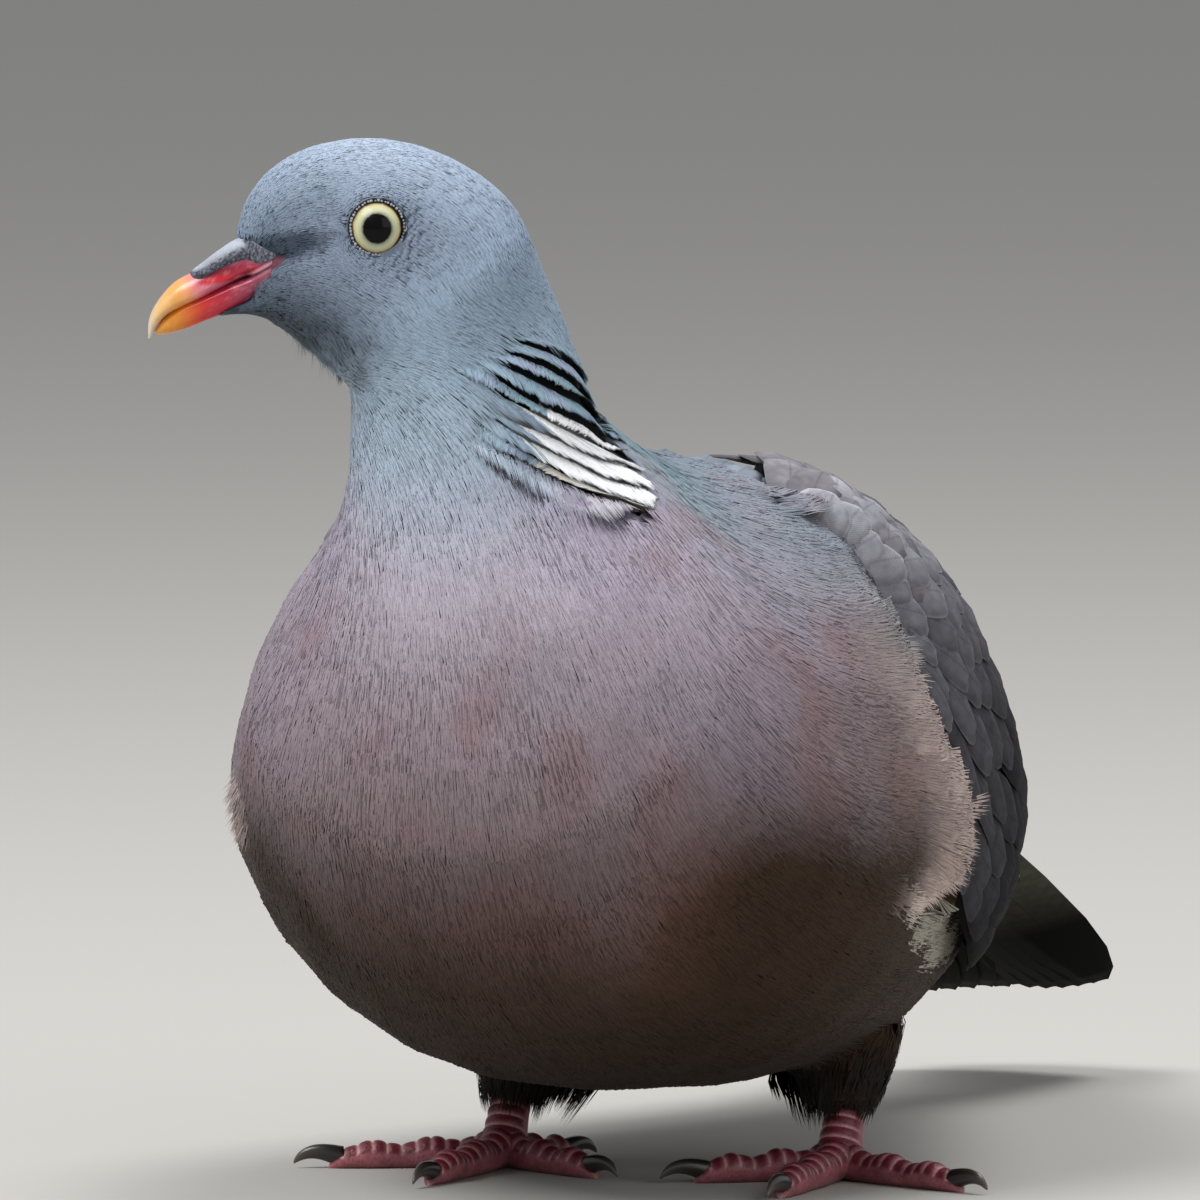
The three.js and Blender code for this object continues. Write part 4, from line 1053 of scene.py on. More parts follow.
def vane_measure(grid):
    """For each corner of each vane: mm across it, mm along it, and mm in from its margin."""
    n, rows, columns = grid.shape[:3]
    half = np.linalg.norm(grid[:, :, -1] - grid[:, :, 0], axis=-1) / 2
    long = np.linalg.norm(grid[:, -1, columns // 2] - grid[:, 0, columns // 2], axis=-1)
    across = half[:, :, None] * VANE_ACROSS[None, None, :]
    along = long[:, None, None] * VANE_ALONG[None, :, None] + 0 * across
    margin = np.minimum(half[:, :, None] - np.abs(across), long[:, None, None] - along)
    return np.stack([across, along, margin], -1)


# Flight and covert feathers: stiffer keratin with a closed, faintly silky vane. Barbs every 0.5 mm slant off
# a dark shaft of 0.4 mm, and the rim of each feather is worn pale over about 0.4 mm.
vane_material, tree = new_material("vaned_feather_keratin")
marking = add(tree, "ShaderNodeAttribute", attribute_name="markings")
measure = add(tree, "ShaderNodeAttribute", attribute_name="vane")
parts = add(tree, "ShaderNodeSeparateXYZ", {"Vector": measure.outputs["Vector"]})
side_way = add(tree, "ShaderNodeMath", {0: parts.outputs["X"]}, operation="ABSOLUTE")
slant = add(
    tree, "ShaderNodeMath",
    {0: side_way.outputs[0], 1: -1.1, 2: parts.outputs["Y"]}, operation="MULTIPLY_ADD",
)
phase = add(tree, "ShaderNodeMath", {0: slant.outputs[0], 1: 2 * math.pi / 0.5}, operation="MULTIPLY")
barb_wave = add(tree, "ShaderNodeMath", {0: phase.outputs[0]}, operation="SINE")
barb_shade = add(
    tree, "ShaderNodeMapRange",
    {"Value": barb_wave.outputs[0], "From Min": -1.0, "To Min": 0.88, "To Max": 1.06},
)
place = add(tree, "ShaderNodeTexCoord")
wear = add(tree, "ShaderNodeTexNoise", {"Vector": place.outputs["Object"], "Scale": 420.0, "Detail": 3.0})
worn = add(
    tree, "ShaderNodeMapRange",
    {"Value": wear.outputs["Fac"], "From Min": 0.3, "From Max": 0.7, "To Min": 0.78, "To Max": 1.22},
)
shaft = add(
    tree, "ShaderNodeMapRange",
    {"Value": side_way.outputs[0], "From Min": 0.1, "From Max": 0.32, "To Min": 0.8, "To Max": 1.0},
)
shade = add(tree, "ShaderNodeMath", {0: barb_shade.outputs[0], 1: worn.outputs[0]}, operation="MULTIPLY")
shade = add(tree, "ShaderNodeMath", {0: shade.outputs[0], 1: shaft.outputs[0]}, operation="MULTIPLY")
vane_colour = add(
    tree, "ShaderNodeVectorMath",
    {0: marking.outputs["Color"], 1: shade.outputs[0]}, operation="MULTIPLY",
)
rim_share = add(
    tree, "ShaderNodeMapRange",
    {"Value": parts.outputs["Z"], "From Min": 0.05, "From Max": 0.6, "To Min": 0.85, "To Max": 0.0},
)
worn_pale = add(
    tree, "ShaderNodeVectorMath",
    {0: vane_colour.outputs[0], 1: (1.6, 1.58, 1.56)}, operation="MULTIPLY",
)
rim_pale = add(
    tree, "ShaderNodeMix", {0: rim_share.outputs[0], 6: vane_colour.outputs[0], 7: worn_pale.outputs[0]},
    data_type="RGBA",
)
relief = add(tree, "ShaderNodeBump", {"Height": barb_wave.outputs[0], "Strength": 0.12, "Distance": 0.0001})
vane_shader = add(
    tree, "ShaderNodeBsdfPrincipled",
    {"Base Color": rim_pale.outputs[2], "Normal": relief.outputs[0], "Roughness": 0.65, "Specular IOR Level": 0.03},
)
finish_material(tree, vane_shader)


def vane_piece(name, tiers, slot, *stands_for):
    """One piece from tiers of vanes: outer grid, outward directions, thickness, colours, softness of the rims."""
    outer, out, colours = (np.concatenate([tier[part] for tier in tiers]) for part in (0, 1, 3))
    thick, soft = (
        np.concatenate([np.full(len(tier[0]), tier[part]) for tier in tiers])[:, None, None] for part in (2, 4)
    )
    measures = vane_measure(outer)
    edge = np.clip(measures[..., 2:] / 1.5, 0.25, 1)
    inner = outer - out * thick[..., None] * edge
    measures[..., 2] += soft
    places, faces = closed_sheets(outer, inner)
    n, cell = len(outer), outer.shape[1] * outer.shape[2]
    columns = int(math.ceil(math.sqrt(n)))
    corner = np.stack([np.arange(n) % columns, np.arange(n) // columns], -1)[:, None, None] / columns
    u, v = np.meshgrid((VANE_ACROSS + 1) / 2, VANE_ALONG)
    both = np.stack([np.stack([u * 0.46, v * 0.94], -1), np.stack([0.5 + u * 0.46, v * 0.94], -1)])
    uvs = (corner[:, :, None] + (0.02 + both[None].reshape(1, 2, cell, 2)) / columns).reshape(-1, 2)
    colours = colours.reshape(n, cell, 3)
    # Painted shade: the inner face of each vane takes its colours darkened by a fifth.
    with_shaded_inner = np.concatenate([colours, colours * 0.8], 1).reshape(-1, 3)
    piece = mesh_of_faces(name, places, faces, with_shaded_inner, uvs)
    layer = piece.data.attributes.new("vane", "FLOAT_VECTOR", "POINT")
    measured = np.concatenate([measures.reshape(n, cell, 3)] * 2, 1)
    layer.data.foreach_set("vector", measured.astype(np.float32).ravel())
    finish_piece(piece, vane_material, slot, *stands_for)


def vane_tier(
    surface, count, tips, downs, long, half, lifts, colour_of,
    drift=0.0, tilt=0.05, thick=0.35, shake=1.0, under=None, soft=0.0,
):
    """A tier of vanes: row and place of the first and last tip, length in rows, half width and lifts in mm."""
    share = np.linspace(0, 1, count)
    row = tips[0] + (tips[1] - tips[0]) * share + draw.uniform(-0.1, 0.1, count) * shake
    down = downs[0] + (downs[1] - downs[0]) * share + draw.uniform(-0.012, 0.012, count) * shake
    turn = drift + draw.uniform(-0.016, 0.016, count) * shake
    wide = half * (1 + draw.uniform(-0.1, 0.1, count) * shake)
    lift = np.array(lifts)[:, None, None, None] + draw.uniform(-0.15, 0.15, count)[:, None, None] * shake
    begin = np.maximum(row - long, 0.03) if long > 0 else row - long
    start, end = np.stack([begin, down - turn], 1), np.stack([row, down], 1)
    if under is not None:
        shown = ~under(row, down)
        start, end, wide, row, down = (values[shown] for values in (start, end, wide, row, down))
        lift, count = lift[:, shown], len(row)
    grid, out = vane_grid(surface, start, end, wide, lift, tilt)
    colour = colour_of(row, down)[:, None, None] * (1 + 0.08 * draw.normal(0, 1, count))[:, None, None, None]
    # Painted shade: each vane is darker towards its base, where the feathers over it cover it, and lighter at its
    # tip.
    along = np.interp(VANE_ALONG, [0, 0.6, 0.9, 1], [0.72, 0.95, 1.06, 1.1])[None, :, None, None]
    return grid, out, thick, colour * along * np.ones((1, 1, len(VANE_ACROSS), 1)), soft


WING_GREYS = np.array([linear(c) for c in ("#908f96", "#5f5e64", "#242326", "#161517")])


def wing_grey(row, down):
    """Paler at the shoulder, darker down and back."""
    at = np.clip(0.2 + 1.3 * (down - 0.25) + 0.4 * row * blend_step(down, 0.3, 0.6), 0, 3)
    return np.stack([np.interp(at, range(4), WING_GREYS[:, c]) for c in range(3)], 1)


def quill_grey(row, down):
    """The dark of the long flight feathers."""
    return np.tile(WING_GREYS[3] * 0.8, (len(row), 1))


def scapular_grey(row, down):
    """Warm grey, darker back along the wing."""
    at = np.clip(0.25 * row + 1.2 * down, 0, 3)
    return np.stack([np.interp(at, range(4), WING_GREYS[:, c] * [1.0, 0.98, 0.95][c]) for c in range(3)], 1)


def shouldered(row, down, side):
    """A wing's surface, sunk towards its front edge at the shoulder so that it comes out from under the coat."""
    place, out, spread = over_wing(row, down, side)
    drop = (5.5 + 3.5 * down) * (1 - blend_step(row, -0.2, 1.1)) * blend_step(0.78 - down, 0, 0.25)
    return place - out * drop[..., None], out, spread


def bed_piece(name, side):
    """The dark bed under a wing's feathers, as thick as the folded wing, painted darker than the quills as the shade
    between them.
    """
    rows, downs = np.meshgrid(np.linspace(0.05, 9.6, 40), np.linspace(0.02, 0.98, 26), indexing="ij")
    place, out, _ = shouldered(rows, downs, side)
    deep = smooth_rows(WING_LINE, rows)[..., 10:]
    rim = np.clip(np.minimum((rows - 0.05) / 0.5, np.minimum(downs - 0.02, 0.98 - downs) / 0.06), 0.05, 1)
    inner = place - out * (1.2 + deep * rim[..., None])
    places, faces = closed_sheets((place - out)[None], inner[None])
    uvs = np.concatenate([np.stack([rows, downs * 4.6], -1).reshape(-1, 2) / 10] * 2)
    uvs[len(uvs) // 2 :] += [0, 0.5]
    rows, downs = rows.ravel(), downs.ravel()
    # Painted shade: the bed is darker than the darkest quills, and its front a darkened scapular grey.
    front = blend_step(1.0 - rows, 0, 0.6) * blend_step(0.66 - downs, 0, 0.15)
    tones = mixed(np.tile(WING_GREYS[3] * 0.6, (len(rows), 1)), scapular_grey(rows, downs) * 0.7, front)
    piece = mesh_of_faces(name, places, faces, np.tile(tones, (2, 1)), uvs * 0.98)
    finish_piece(piece, plumage_material, "tail_quills")


def under_coat(row, down):
    """Which feathers of the wing the flank's coat hides."""
    return (row < 1.05) & (down > np.interp(row, LAP_ROWS, LAP_DOWNS) + 0.02)


def under_mantle(row, down):
    """Which scapulars the mantle's coat hides."""
    return (row < 1.25) & (down < 0.12)


for side, side_name in ((1, "left"), (-1, "right")):
    tier = partial(vane_tier, partial(shouldered, side=side))
    bed_piece(f"wing_bed_{side_name}", side)
    tiers = [
        tier(9, (9.9, 8.0), (0.88, 0.3), 3.6, 4.4, (-1.2, 0.3), quill_grey, drift=-0.02),
        tier(10, (7.0, 7.5), (0.95, 0.12), 2.4, 6.2, (-1.3, 0.9), wing_grey),
        tier(11, (5.9, 6.2), (0.95, 0.12), 1.9, 6.3, (-1.4, 1.0), wing_grey),
    ]
    for row in (5.1, 4.4, 3.75, 3.15, 2.6, 2.08, 1.6, 1.15, 0.75):
        long = 1.15 if row > 3 else 1.0 - 0.12 * (3 - row)
        count = 12 if row > 2 else 11
        rise = np.interp(row, [0.7, 2.5], [0.3, 0.9])
        tiers.append(
            tier(count, (row, row + 0.1), (0.96, 0.14), long, 5.6, (-1.3, rise), wing_grey, drift=0.01,
                 under=under_coat)
        )
    for row in (5.2, 4.5, 3.85, 3.25, 2.7, 2.2, 1.75, 1.3, 0.9, 0.5):
        low = np.interp(row, [0, 1.4, 3, 5.2], [0.44, 0.44, 0.36, 0.22])
        rise = np.interp(row, [0.5, 2, 3.5], [-0.3, 0.6, 1.5])
        count, half = (9, 4.4) if row < 2.5 else (8, 5.0)
        tiers.append(
            tier(count, (row + 0.25, row), (low, 0.04), 1.0, half, (-1.4, rise), scapular_grey, drift=0.03,
                 shake=1.5, under=under_mantle, soft=0.5)
        )
    vane_piece(f"wing_feathers_{side_name}", tiers, "plumage_wing", f"wing_{side_name}")

# ------------------------------------------------------------------ mantle
# The upper back between the wings is covered by soft, rounded feathers like small shingles, which lie over
# the top edges of both wings and run out on the rump.
MANTLE_TOP, MANTLE_SIDE = linear("#79848e"), linear("#7c7b81")
back_surface = partial(lie_at, body_point)


def mantle_grey(row, angle):
    """Bluer along the middle of the back."""
    return mixed(np.tile(MANTLE_SIDE, (len(row), 1)), MANTLE_TOP, blend_step(np.sin(angle), 0.85, 1.0))


mantle = []
for row in np.arange(2.0, 6.7, 0.36):
    reach = math.radians(np.interp(row, [2, 6, 6.7], [38, 34, 20]))
    count = int(5 + 2.4 * row * reach)
    ends = (math.pi / 2 - reach, math.pi / 2 + reach)
    sunk = np.interp(row, [4.6, 6.4], [-2.0, -6.5])  # the front roots lie deeper, under the coat
    mantle.append(
        vane_tier(back_surface, count, (row, row), ends, -0.85, 4.4, (sunk, 0.8), mantle_grey,
                  tilt=0, shake=1.4, soft=0.45)
    )
vane_piece("mantle_feathers", mantle, "plumage_blue_grey")

# ------------------------------------------------------------------ tail
# Twelve broad tail feathers in a narrow fan: grey, with a pale band and a black end. Shorter coverts hide
# their roots above and below.
TAIL_SLOPE = math.radians(24.8)
TAIL_LONG = 115.0
TAIL_START = np.array([0, 101.0, 63.5]) + STANCE
TAIL_BANDS = ["#3e3f39", "#505147", "#64655a", "#4c4c42", "#060606", "#020202"]
TAIL_BAND_AT = [0, 0.4, 0.5, 0.56, 0.62, 1]
tail_bands = np.array([linear(c) for c in TAIL_BANDS])


def tail_surface(along, aside):
    """The fan's plane, from the root at 0 to the tip at 1, a little cupped to both sides."""
    reach = along * TAIL_LONG
    up = np.where(aside > 0, 0.006, -0.004) * aside**2
    place = np.stack(
        [
            TAIL_START[0] + aside,
            TAIL_START[1] + math.cos(TAIL_SLOPE) * reach + math.sin(TAIL_SLOPE) * up,
            TAIL_START[2] - math.sin(TAIL_SLOPE) * reach + math.cos(TAIL_SLOPE) * up,
        ],
        -1,
    )
    out = np.zeros(place.shape) + np.array([0, math.sin(TAIL_SLOPE), math.cos(TAIL_SLOPE)])
    return place, out, np.ones(np.shape(along))


tail_tiers = []
for k in range(5, -1, -1):
    for side in (1, -1):
        share = (k + 0.5) / 6
        under = 0.5 * k + (0.45 * (k == 0) if side < 0 else 0)
        spread = 20 if side > 0 else 18.6
        ends = np.array([[0.02, side * share * 12]]), np.array([[1 - 0.05 * share**2, side * share * spread]])
        tilt = 0.12 * side if k else 0
        grid, out = vane_grid(tail_surface, *ends, np.array([7.4]), (-under, -under), tilt, cup=0.15)
        bands = np.stack([np.interp(VANE_ALONG, TAIL_BAND_AT, tail_bands[:, c]) for c in range(3)], 1)
        tail_tiers.append((grid, out, 0.4, bands[None, :, None] * np.ones((1, 1, len(VANE_ACROSS), 1)), 0.3))
vane_piece("tail_feathers", tail_tiers, "tail_quills", "tail")


def vent_grey(row, angle):
    """The coverts below the tail."""
    return np.tile(linear("#55554b"), (len(row), 1))


# Row, degrees round the body of the middle, reach to both sides of it, and number, above the tail and below.
COVERTS_ABOVE = [(0.9, 90, 62, 8), (1.3, 90, 62, 8), (1.7, 90, 64, 8), (0.5, 90, 56, 7)]
COVERTS_BELOW = [(0.3, -90, 60, 8), (0.8, -90, 66, 9), (1.3, -90, 70, 9), (1.8, -90, 72, 10)]
coverts = []
for row, middle, reach, count in COVERTS_ABOVE + COVERTS_BELOW:
    ends = (math.radians(middle - reach), math.radians(middle + reach))
    grey = mantle_grey if middle > 0 else vent_grey
    coverts.append(vane_tier(back_surface, count, (row, row), ends, -1.1, 5, (-1.2, 0.8), grey, tilt=0))
vane_piece("tail_coverts", coverts, "plumage_blue_grey")

# ------------------------------------------------------------------ eyes
# A round, wet eyeball with a cream iris, set in a ring of small pale beads of bare skin with a black line
# round it. The cornea stands a little proud of the ball.
EYE_RADIUS = 6.0
CORNEA = 4.1  # half the width of the iris
PUPIL = 2.34
RING_BEADS = 50
LID_OUTLINE = [(4.1, 3.5), (4.1, 4.15), (4.25, 4.3), (4.6, 4.22), (4.95, 3.95), (5.25, 3.4), (5.3, 2.4)]
LID_TONES = [
    (4.1, "#14161a"), (4.2, "#14161a"), (4.3, "#8b97a4"), (4.6, "#76828f"), (4.72, "#22262c"), (5.0, "#4d5967"),
]
FOLD_RADIUS, FOLD_UP = 4.74, 4.3  # where the thin dark fold lies round the ring
FOLD_OUTLINE = [
    (FOLD_RADIUS + 0.13 * math.cos(t), FOLD_UP + 0.13 * math.sin(t)) for t in np.arange(8) * math.pi / 4
]


def ramp_of(at, stops):
    """Colours along a run of stops, each a position and a hex colour."""
    table = np.array([linear(colour) for _, colour in stops])
    return np.stack([np.interp(at, [stop for stop, _ in stops], table[:, c]) for c in range(3)], 1)


def unwrap(piece):
    """Lays a small piece out on the bake map from its own shape."""
    bpy.context.view_layer.objects.active = piece
    piece.select_set(True)
    bpy.ops.object.mode_set(mode="EDIT")
    bpy.ops.mesh.select_all(action="SELECT")
    bpy.ops.uv.smart_project(angle_limit=1.1, island_margin=0.01)
    bpy.ops.object.mode_set(mode="OBJECT")
    piece.select_set(False)


eye_material, tree = new_material("wet_eye")
polar = add(tree, "ShaderNodeAttribute", attribute_name="polar")
parts = add(tree, "ShaderNodeSeparateXYZ", {"Vector": polar.outputs["Vector"]})
threads = add(tree, "ShaderNodeTexNoise", {"Vector": polar.outputs["Vector"], "Scale": 3.2, "Detail": 4.0})
wavy = add(
    tree, "ShaderNodeMath",
    {0: threads.outputs["Fac"], 1: 0.35, 2: parts.outputs["Z"]}, operation="MULTIPLY_ADD",
)
span = add(tree, "ShaderNodeMapRange", {"Value": wavy.outputs[0], "From Min": 0.175, "From Max": 5.175})
rings = add(tree, "ShaderNodeValToRGB", {"Fac": span.outputs[0]})
ramp = rings.color_ramp
RING_STOPS = [
    (PUPIL - 0.1, "#020203"), (PUPIL + 0.08, "#7d7f6b"), (PUPIL + 0.4, "#b3b79b"), (3.2, "#c6c8a5"),
    (3.65, "#c0b98a"), (3.85, "#8f6f45"), (3.98, "#15100d"), (5.0, "#0c0b0b"),
]
while len(ramp.elements) < len(RING_STOPS):
    ramp.elements.new(0.5)
for stop, (radius, colour) in zip(ramp.elements, RING_STOPS):
    stop.position = radius / 5
    stop.color = (*linear(colour), 1)
finish_material(
    tree,
    add(
        tree, "ShaderNodeBsdfPrincipled",
        {"Base Color": rings.outputs["Color"], "Roughness": 0.4, "Specular IOR Level": 0.05, "Coat Weight": 0.4,
         "Coat Roughness": 0.03, "Coat IOR": 1.33},
    ),
)

# Bare skin of the ring round the eye: dry, pale, granular.
ring_material, tree = new_material("bare_eye_ring_skin")
marking = add(tree, "ShaderNodeAttribute", attribute_name="markings")
finish_material(
    tree, add(tree, "ShaderNodeBsdfPrincipled", {"Base Color": marking.outputs["Color"], "Roughness": 0.55})
)

for side, side_name in ((1, "left"), (-1, "right")):
    centre = eye_centres[side]
    axis = HEAD_LEFT * side
    up = np.array([0, 0, 1.0])
    fore = np.cross(up, axis)
    made = bmesh.new()
    bmesh.ops.create_uvsphere(made, u_segments=64, v_segments=48, radius=EYE_RADIUS)
    turn = Matrix([fore, np.cross(axis, fore), axis]).transposed().to_4x4()
    for vert in made.verts:
        away = math.hypot(vert.co.x, vert.co.y)
        if vert.co.z > 0 and away < CORNEA:
            vert.co.z += 0.45 * (1 - (away / CORNEA) ** 2)
    local = np.array([vert.co for vert in made.verts])
    made.transform(Matrix.Scale(MM, 4) @ Matrix.Translation(Vector(centre)) @ turn)
    ball = object_of(made, f"eyeball_{side_name}")
    away = np.hypot(local[:, 0] + 0.12, (local[:, 1] + 0.1) * 0.96)
    reach = np.where(local[:, 2] > 0, away, 5.0)
    angle = np.arctan2(local[:, 1], local[:, 0])
    layer = ball.data.attributes.new("polar", "FLOAT_VECTOR", "POINT")
    polar_values = np.stack([np.cos(angle), np.sin(angle), reach], 1)
    layer.data.foreach_set("vector", polar_values.astype(np.float32).ravel())
    unwrap(ball)
    finish_piece(ball, eye_material, "eye", f"eye_{side_name}")

    # The rim of the lids, and a thin dark fold round the ring.
    made = bmesh.new()
    for outline in (LID_OUTLINE, FOLD_OUTLINE):
        profile = bmesh.ops.create_circle(made, segments=len(outline), radius=1)["verts"]
        for vert, (radius, height) in zip(profile, outline):
            vert.co = (radius, 0, height)
        profile_edges = list({edge for vert in profile for edge in vert.link_edges})
        bmesh.ops.spin(made, geom=profile_edges, axis=(0, 0, 1), cent=(0, 0, 0), steps=72, angle=2 * math.pi)
    bmesh.ops.remove_doubles(made, verts=made.verts, dist=1e-4)
    dark_count = len(made.verts)
    reach = np.array([math.hypot(vert.co.x, vert.co.y) for vert in made.verts])
    height = np.array([vert.co.z for vert in made.verts])
    on_fold = (np.abs(reach - FOLD_RADIUS) < 0.14) & (np.abs(height - FOLD_UP) < 0.14)
    broken = noise_at(np.array([vert.co for vert in made.verts]), 1.1, 15 + side) > 0.25
    ring_tones = np.where((on_fold & ~broken)[:, None], linear("#101216"), ramp_of(reach, LID_TONES))
    for k in range(RING_BEADS):
        around = 2 * math.pi * (k + 0.3 * draw.random()) / RING_BEADS
        bead = bmesh.ops.create_icosphere(made, subdivisions=2, radius=0.17 + 0.12 * draw.random())
        radius = 4.34 + 0.2 * draw.random()
        bmesh.ops.translate(
            made, verts=bead["verts"], vec=(radius * math.cos(around), radius * math.sin(around), 4.22)
        )
    bmesh.ops.recalc_face_normals(made, faces=made.faces)
    made.transform(Matrix.Scale(MM, 4) @ Matrix.Translation(Vector(centre)) @ turn)
    ring = object_of(made, f"eye_ring_{side_name}")
    tones = linear("#9aa5b0") * draw.normal(1, 0.2, (len(ring.data.vertices), 1))
    tones[:dark_count] = ring_tones
    colour_attribute(ring.data, tones)
    unwrap(ring)
    finish_piece(ring, ring_material, "eye")

# ------------------------------------------------------------------ bill
# Two horny mandibles, the upper hooked over the lower: yellow at the tip and pink to crimson behind, with a
# powdery grey swelling over the slit nostrils. Each row: back and up of its upper and of its lower edge on
# the head's middle plane, half width, how far up it is widest, and squareness.
UPPER_BILL = np.array(
    [
        (-16.4, -4.9, -16.2, -5.2, 5.2, 0.4, 2.2),
        (-18.2, -4.6, -17.9, -6.2, 5.6, 0.4, 2.2),
        (-20.2, -3.4, -19.6, -7.3, 5.6, 0.35, 2.2),
        (-22.0, -1.7, -21.2, -8.2, 5.0, 0.3, 2.2),
        (-24.6, -3.3, -23.6, -9.2, 4.6, 0.3, 2.2),
        (-27.5, -5.4, -26.6, -10.6, 4.4, 0.3, 2.2),
        (-31, -7.8, -30.0, -12.3, 3.8, 0.3, 2.2),
        (-34, -9.6, -32.8, -13.6, 3.3, 0.35, 2.2),
        (-36.6, -12.6, -35.2, -14.9, 2.6, 0.4, 2),
        (-38, -15.6, -36.9, -16.9, 1.5, 0.5, 2),
        (-38.1, -18.8, -37.8, -18.6, 0.3, 0.5, 2),
    ]
)
LOWER_BILL = np.array(
    [
        (-16.4, -5.1, -16.3, -5.8, 5.2, 0.5, 2.2),
        (-18.2, -6.1, -17.9, -8.0, 5.6, 0.6, 2.2),
        (-20.2, -7.4, -19.6, -10.4, 5.3, 0.65, 2.3),
        (-22.5, -8.5, -21.6, -12.6, 4.7, 0.7, 2.4),
        (-25.5, -9.7, -24.8, -14.3, 3.8, 0.7, 2.4),
        (-29.3, -11.55, -28.6, -15.7, 3.1, 0.7, 2.4),
        (-32.7, -13.15, -32.1, -17.1, 2.5, 0.7, 2.2),
        (-35.5, -15.2, -35.1, -17.9, 1.7, 0.6, 2),
        (-37, -17.2, -36.9, -18.0, 0.6, 0.5, 2),
    ]
)
CERE = np.array(
    [
        (-17.6, -4.5, -17.5, -4.9, 5.5, 0.5, 2),
        (-19.8, -3.4, -19.5, -5.9, 5.7, 0.5, 2),
        (-22.0, -2.1, -21.5, -6.4, 5.4, 0.45, 2),
        (-24.0, -2.6, -23.6, -6.7, 5.3, 0.45, 2),
        (-26.8, -4.4, -26.0, -7.4, 5.2, 0.4, 2),
        (-29.3, -6.3, -28.6, -8.8, 4.4, 0.4, 2),
        (-30.9, -7.5, -30.3, -9.3, 3.2, 0.4, 2),
        (-31.5, -8.3, -31.2, -9.1, 1.4, 0.5, 2),
    ]
)
# How far the gape stands off the face, in mm.
PROUD = {"mandible_upper": 0.35, "mandible_lower": 0.3, "cere_swelling": 0.6}


def mandible_point(rows, along, angle):
    """A point of a part of the bill, from its root at 0 to its tip at 1."""
    back, up, low_back, low_up, half, widest, square = smooth_rows(rows, along * (len(rows) - 1))
    top, low = on_head(back, up), on_head(low_back, low_up)
    return section_point(top, low, HEAD_LEFT, half, widest, square, square, np.array(angle)) + STANCE


# Horn of the bill: keratin over blood, smooth and waxy, with fine lengthwise growth lines.
horn_material, tree = new_material("bill_horn_keratin")
marking = add(tree, "ShaderNodeAttribute", attribute_name="markings")
place = add(tree, "ShaderNodeTexCoord")
grain = add(tree, "ShaderNodeTexNoise", {"Vector": place.outputs["Object"], "Scale": 900.0, "Detail": 3.0})
tone = add(tree, "ShaderNodeMapRange", {"Value": grain.outputs["Fac"], "To Min": 0.84, "To Max": 1.16})
shade = add(
    tree, "ShaderNodeVectorMath",
    {0: marking.outputs["Color"], 1: tone.outputs[0]}, operation="MULTIPLY",
)
relief = add(tree, "ShaderNodeBump", {"Height": grain.outputs["Fac"], "Strength": 0.15, "Distance": 0.0002})
finish_material(
    tree,
    add(
        tree, "ShaderNodeBsdfPrincipled",
        {"Base Color": shade.outputs[0], "Normal": relief.outputs[0], "Roughness": 0.34, "Coat Weight": 0.25,
         "Coat Roughness": 0.2, "Subsurface Weight": 0.12, "Subsurface Scale": 0.002},
    ),
)

# The cere: soft grey skin dusted with white powder, in folds of about 0.6 mm. Where it faces up it turns
# pale: partly the powder along the culmen and partly a painted highlight.
cere_material, tree = new_material("powdered_cere_skin")
place = add(tree, "ShaderNodeTexCoord")
folds = add(tree, "ShaderNodeTexNoise", {"Vector": place.outputs["Object"], "Scale": 2000.0, "Detail": 5.0})
powder = add(tree, "ShaderNodeValToRGB", {"Fac": folds.outputs["Fac"]})
powder.color_ramp.elements[0].position = 0.42
powder.color_ramp.elements[0].color = (*linear("#2f303c"), 1)
powder.color_ramp.elements[1].position = 0.72
powder.color_ramp.elements[1].color = (*linear("#7c818f"), 1)
facing = add(tree, "ShaderNodeNewGeometry")
facing = add(tree, "ShaderNodeSeparateXYZ", {"Vector": facing.outputs["Normal"]})
# Painted highlight, with the culmen's powder: the skin turns pale where it faces up.
ridge_highlight = add(
    tree, "ShaderNodeMapRange",
    {"Value": facing.outputs["Z"], "From Min": 0.62, "From Max": 0.86, "To Max": 0.8},
)
dusted_and_lit = add(
    tree, "ShaderNodeMix", {0: ridge_highlight.outputs[0], 6: powder.outputs[0], 7: (*linear("#c3c8d3"), 1)}, data_type="RGBA"
)
relief = add(tree, "ShaderNodeBump", {"Height": folds.outputs["Fac"], "Strength": 0.6, "Distance": 0.0003})
finish_material(
    tree,
    add(
        tree, "ShaderNodeBsdfPrincipled",
        {"Base Color": dusted_and_lit.outputs[2], "Normal": relief.outputs[0], "Roughness": 0.7},
    ),
)


def beside_face(place, proud):
    """The gape's bands run back over the face: a point beside it, moved out until it is proud of the skin."""
    back, up, left = from_skull(place)
    if back < -25.5 or abs(left) < 0.9:
        return place
    side = 1 if left > 0 else -1
    level = place - HEAD_LEFT * left
    hit = skin_bvh.ray_cast(Vector(level + HEAD_LEFT * 20 * side), Vector(-HEAD_LEFT * side), 19)[0]
    if hit is None:
        return place
    share = float(blend_step(abs(left), 0.9, 2.4) * blend_step(back, -25.5, -20.0))
    sink = float(blend_step(back, -19.5, -16.6))  # the bands end under the feathers of the face
    out = max(abs(from_skull(np.array(hit))[2]) + proud - 0.9 * sink, abs(left) - sink)
    return level + HEAD_LEFT * side * (abs(left) + (out - abs(left)) * share)


def bill_piece(name, rows, rings, material, slot, node, tint=None):
    """One part of the bill, with colours where a tint is given."""
    made = bmesh.new()
    loft(made, rings, 72, lambda along, angle: beside_face(mandible_point(rows, along, angle), PROUD[name]))
    bmesh.ops.recalc_face_normals(made, faces=made.faces)
    piece = object_of(made, name)
    if tint:
        colour_attribute(piece.data, tint(vertex_array(piece.data) / MM))
    unwrap(piece)
    finish_piece(piece, material, slot, node)


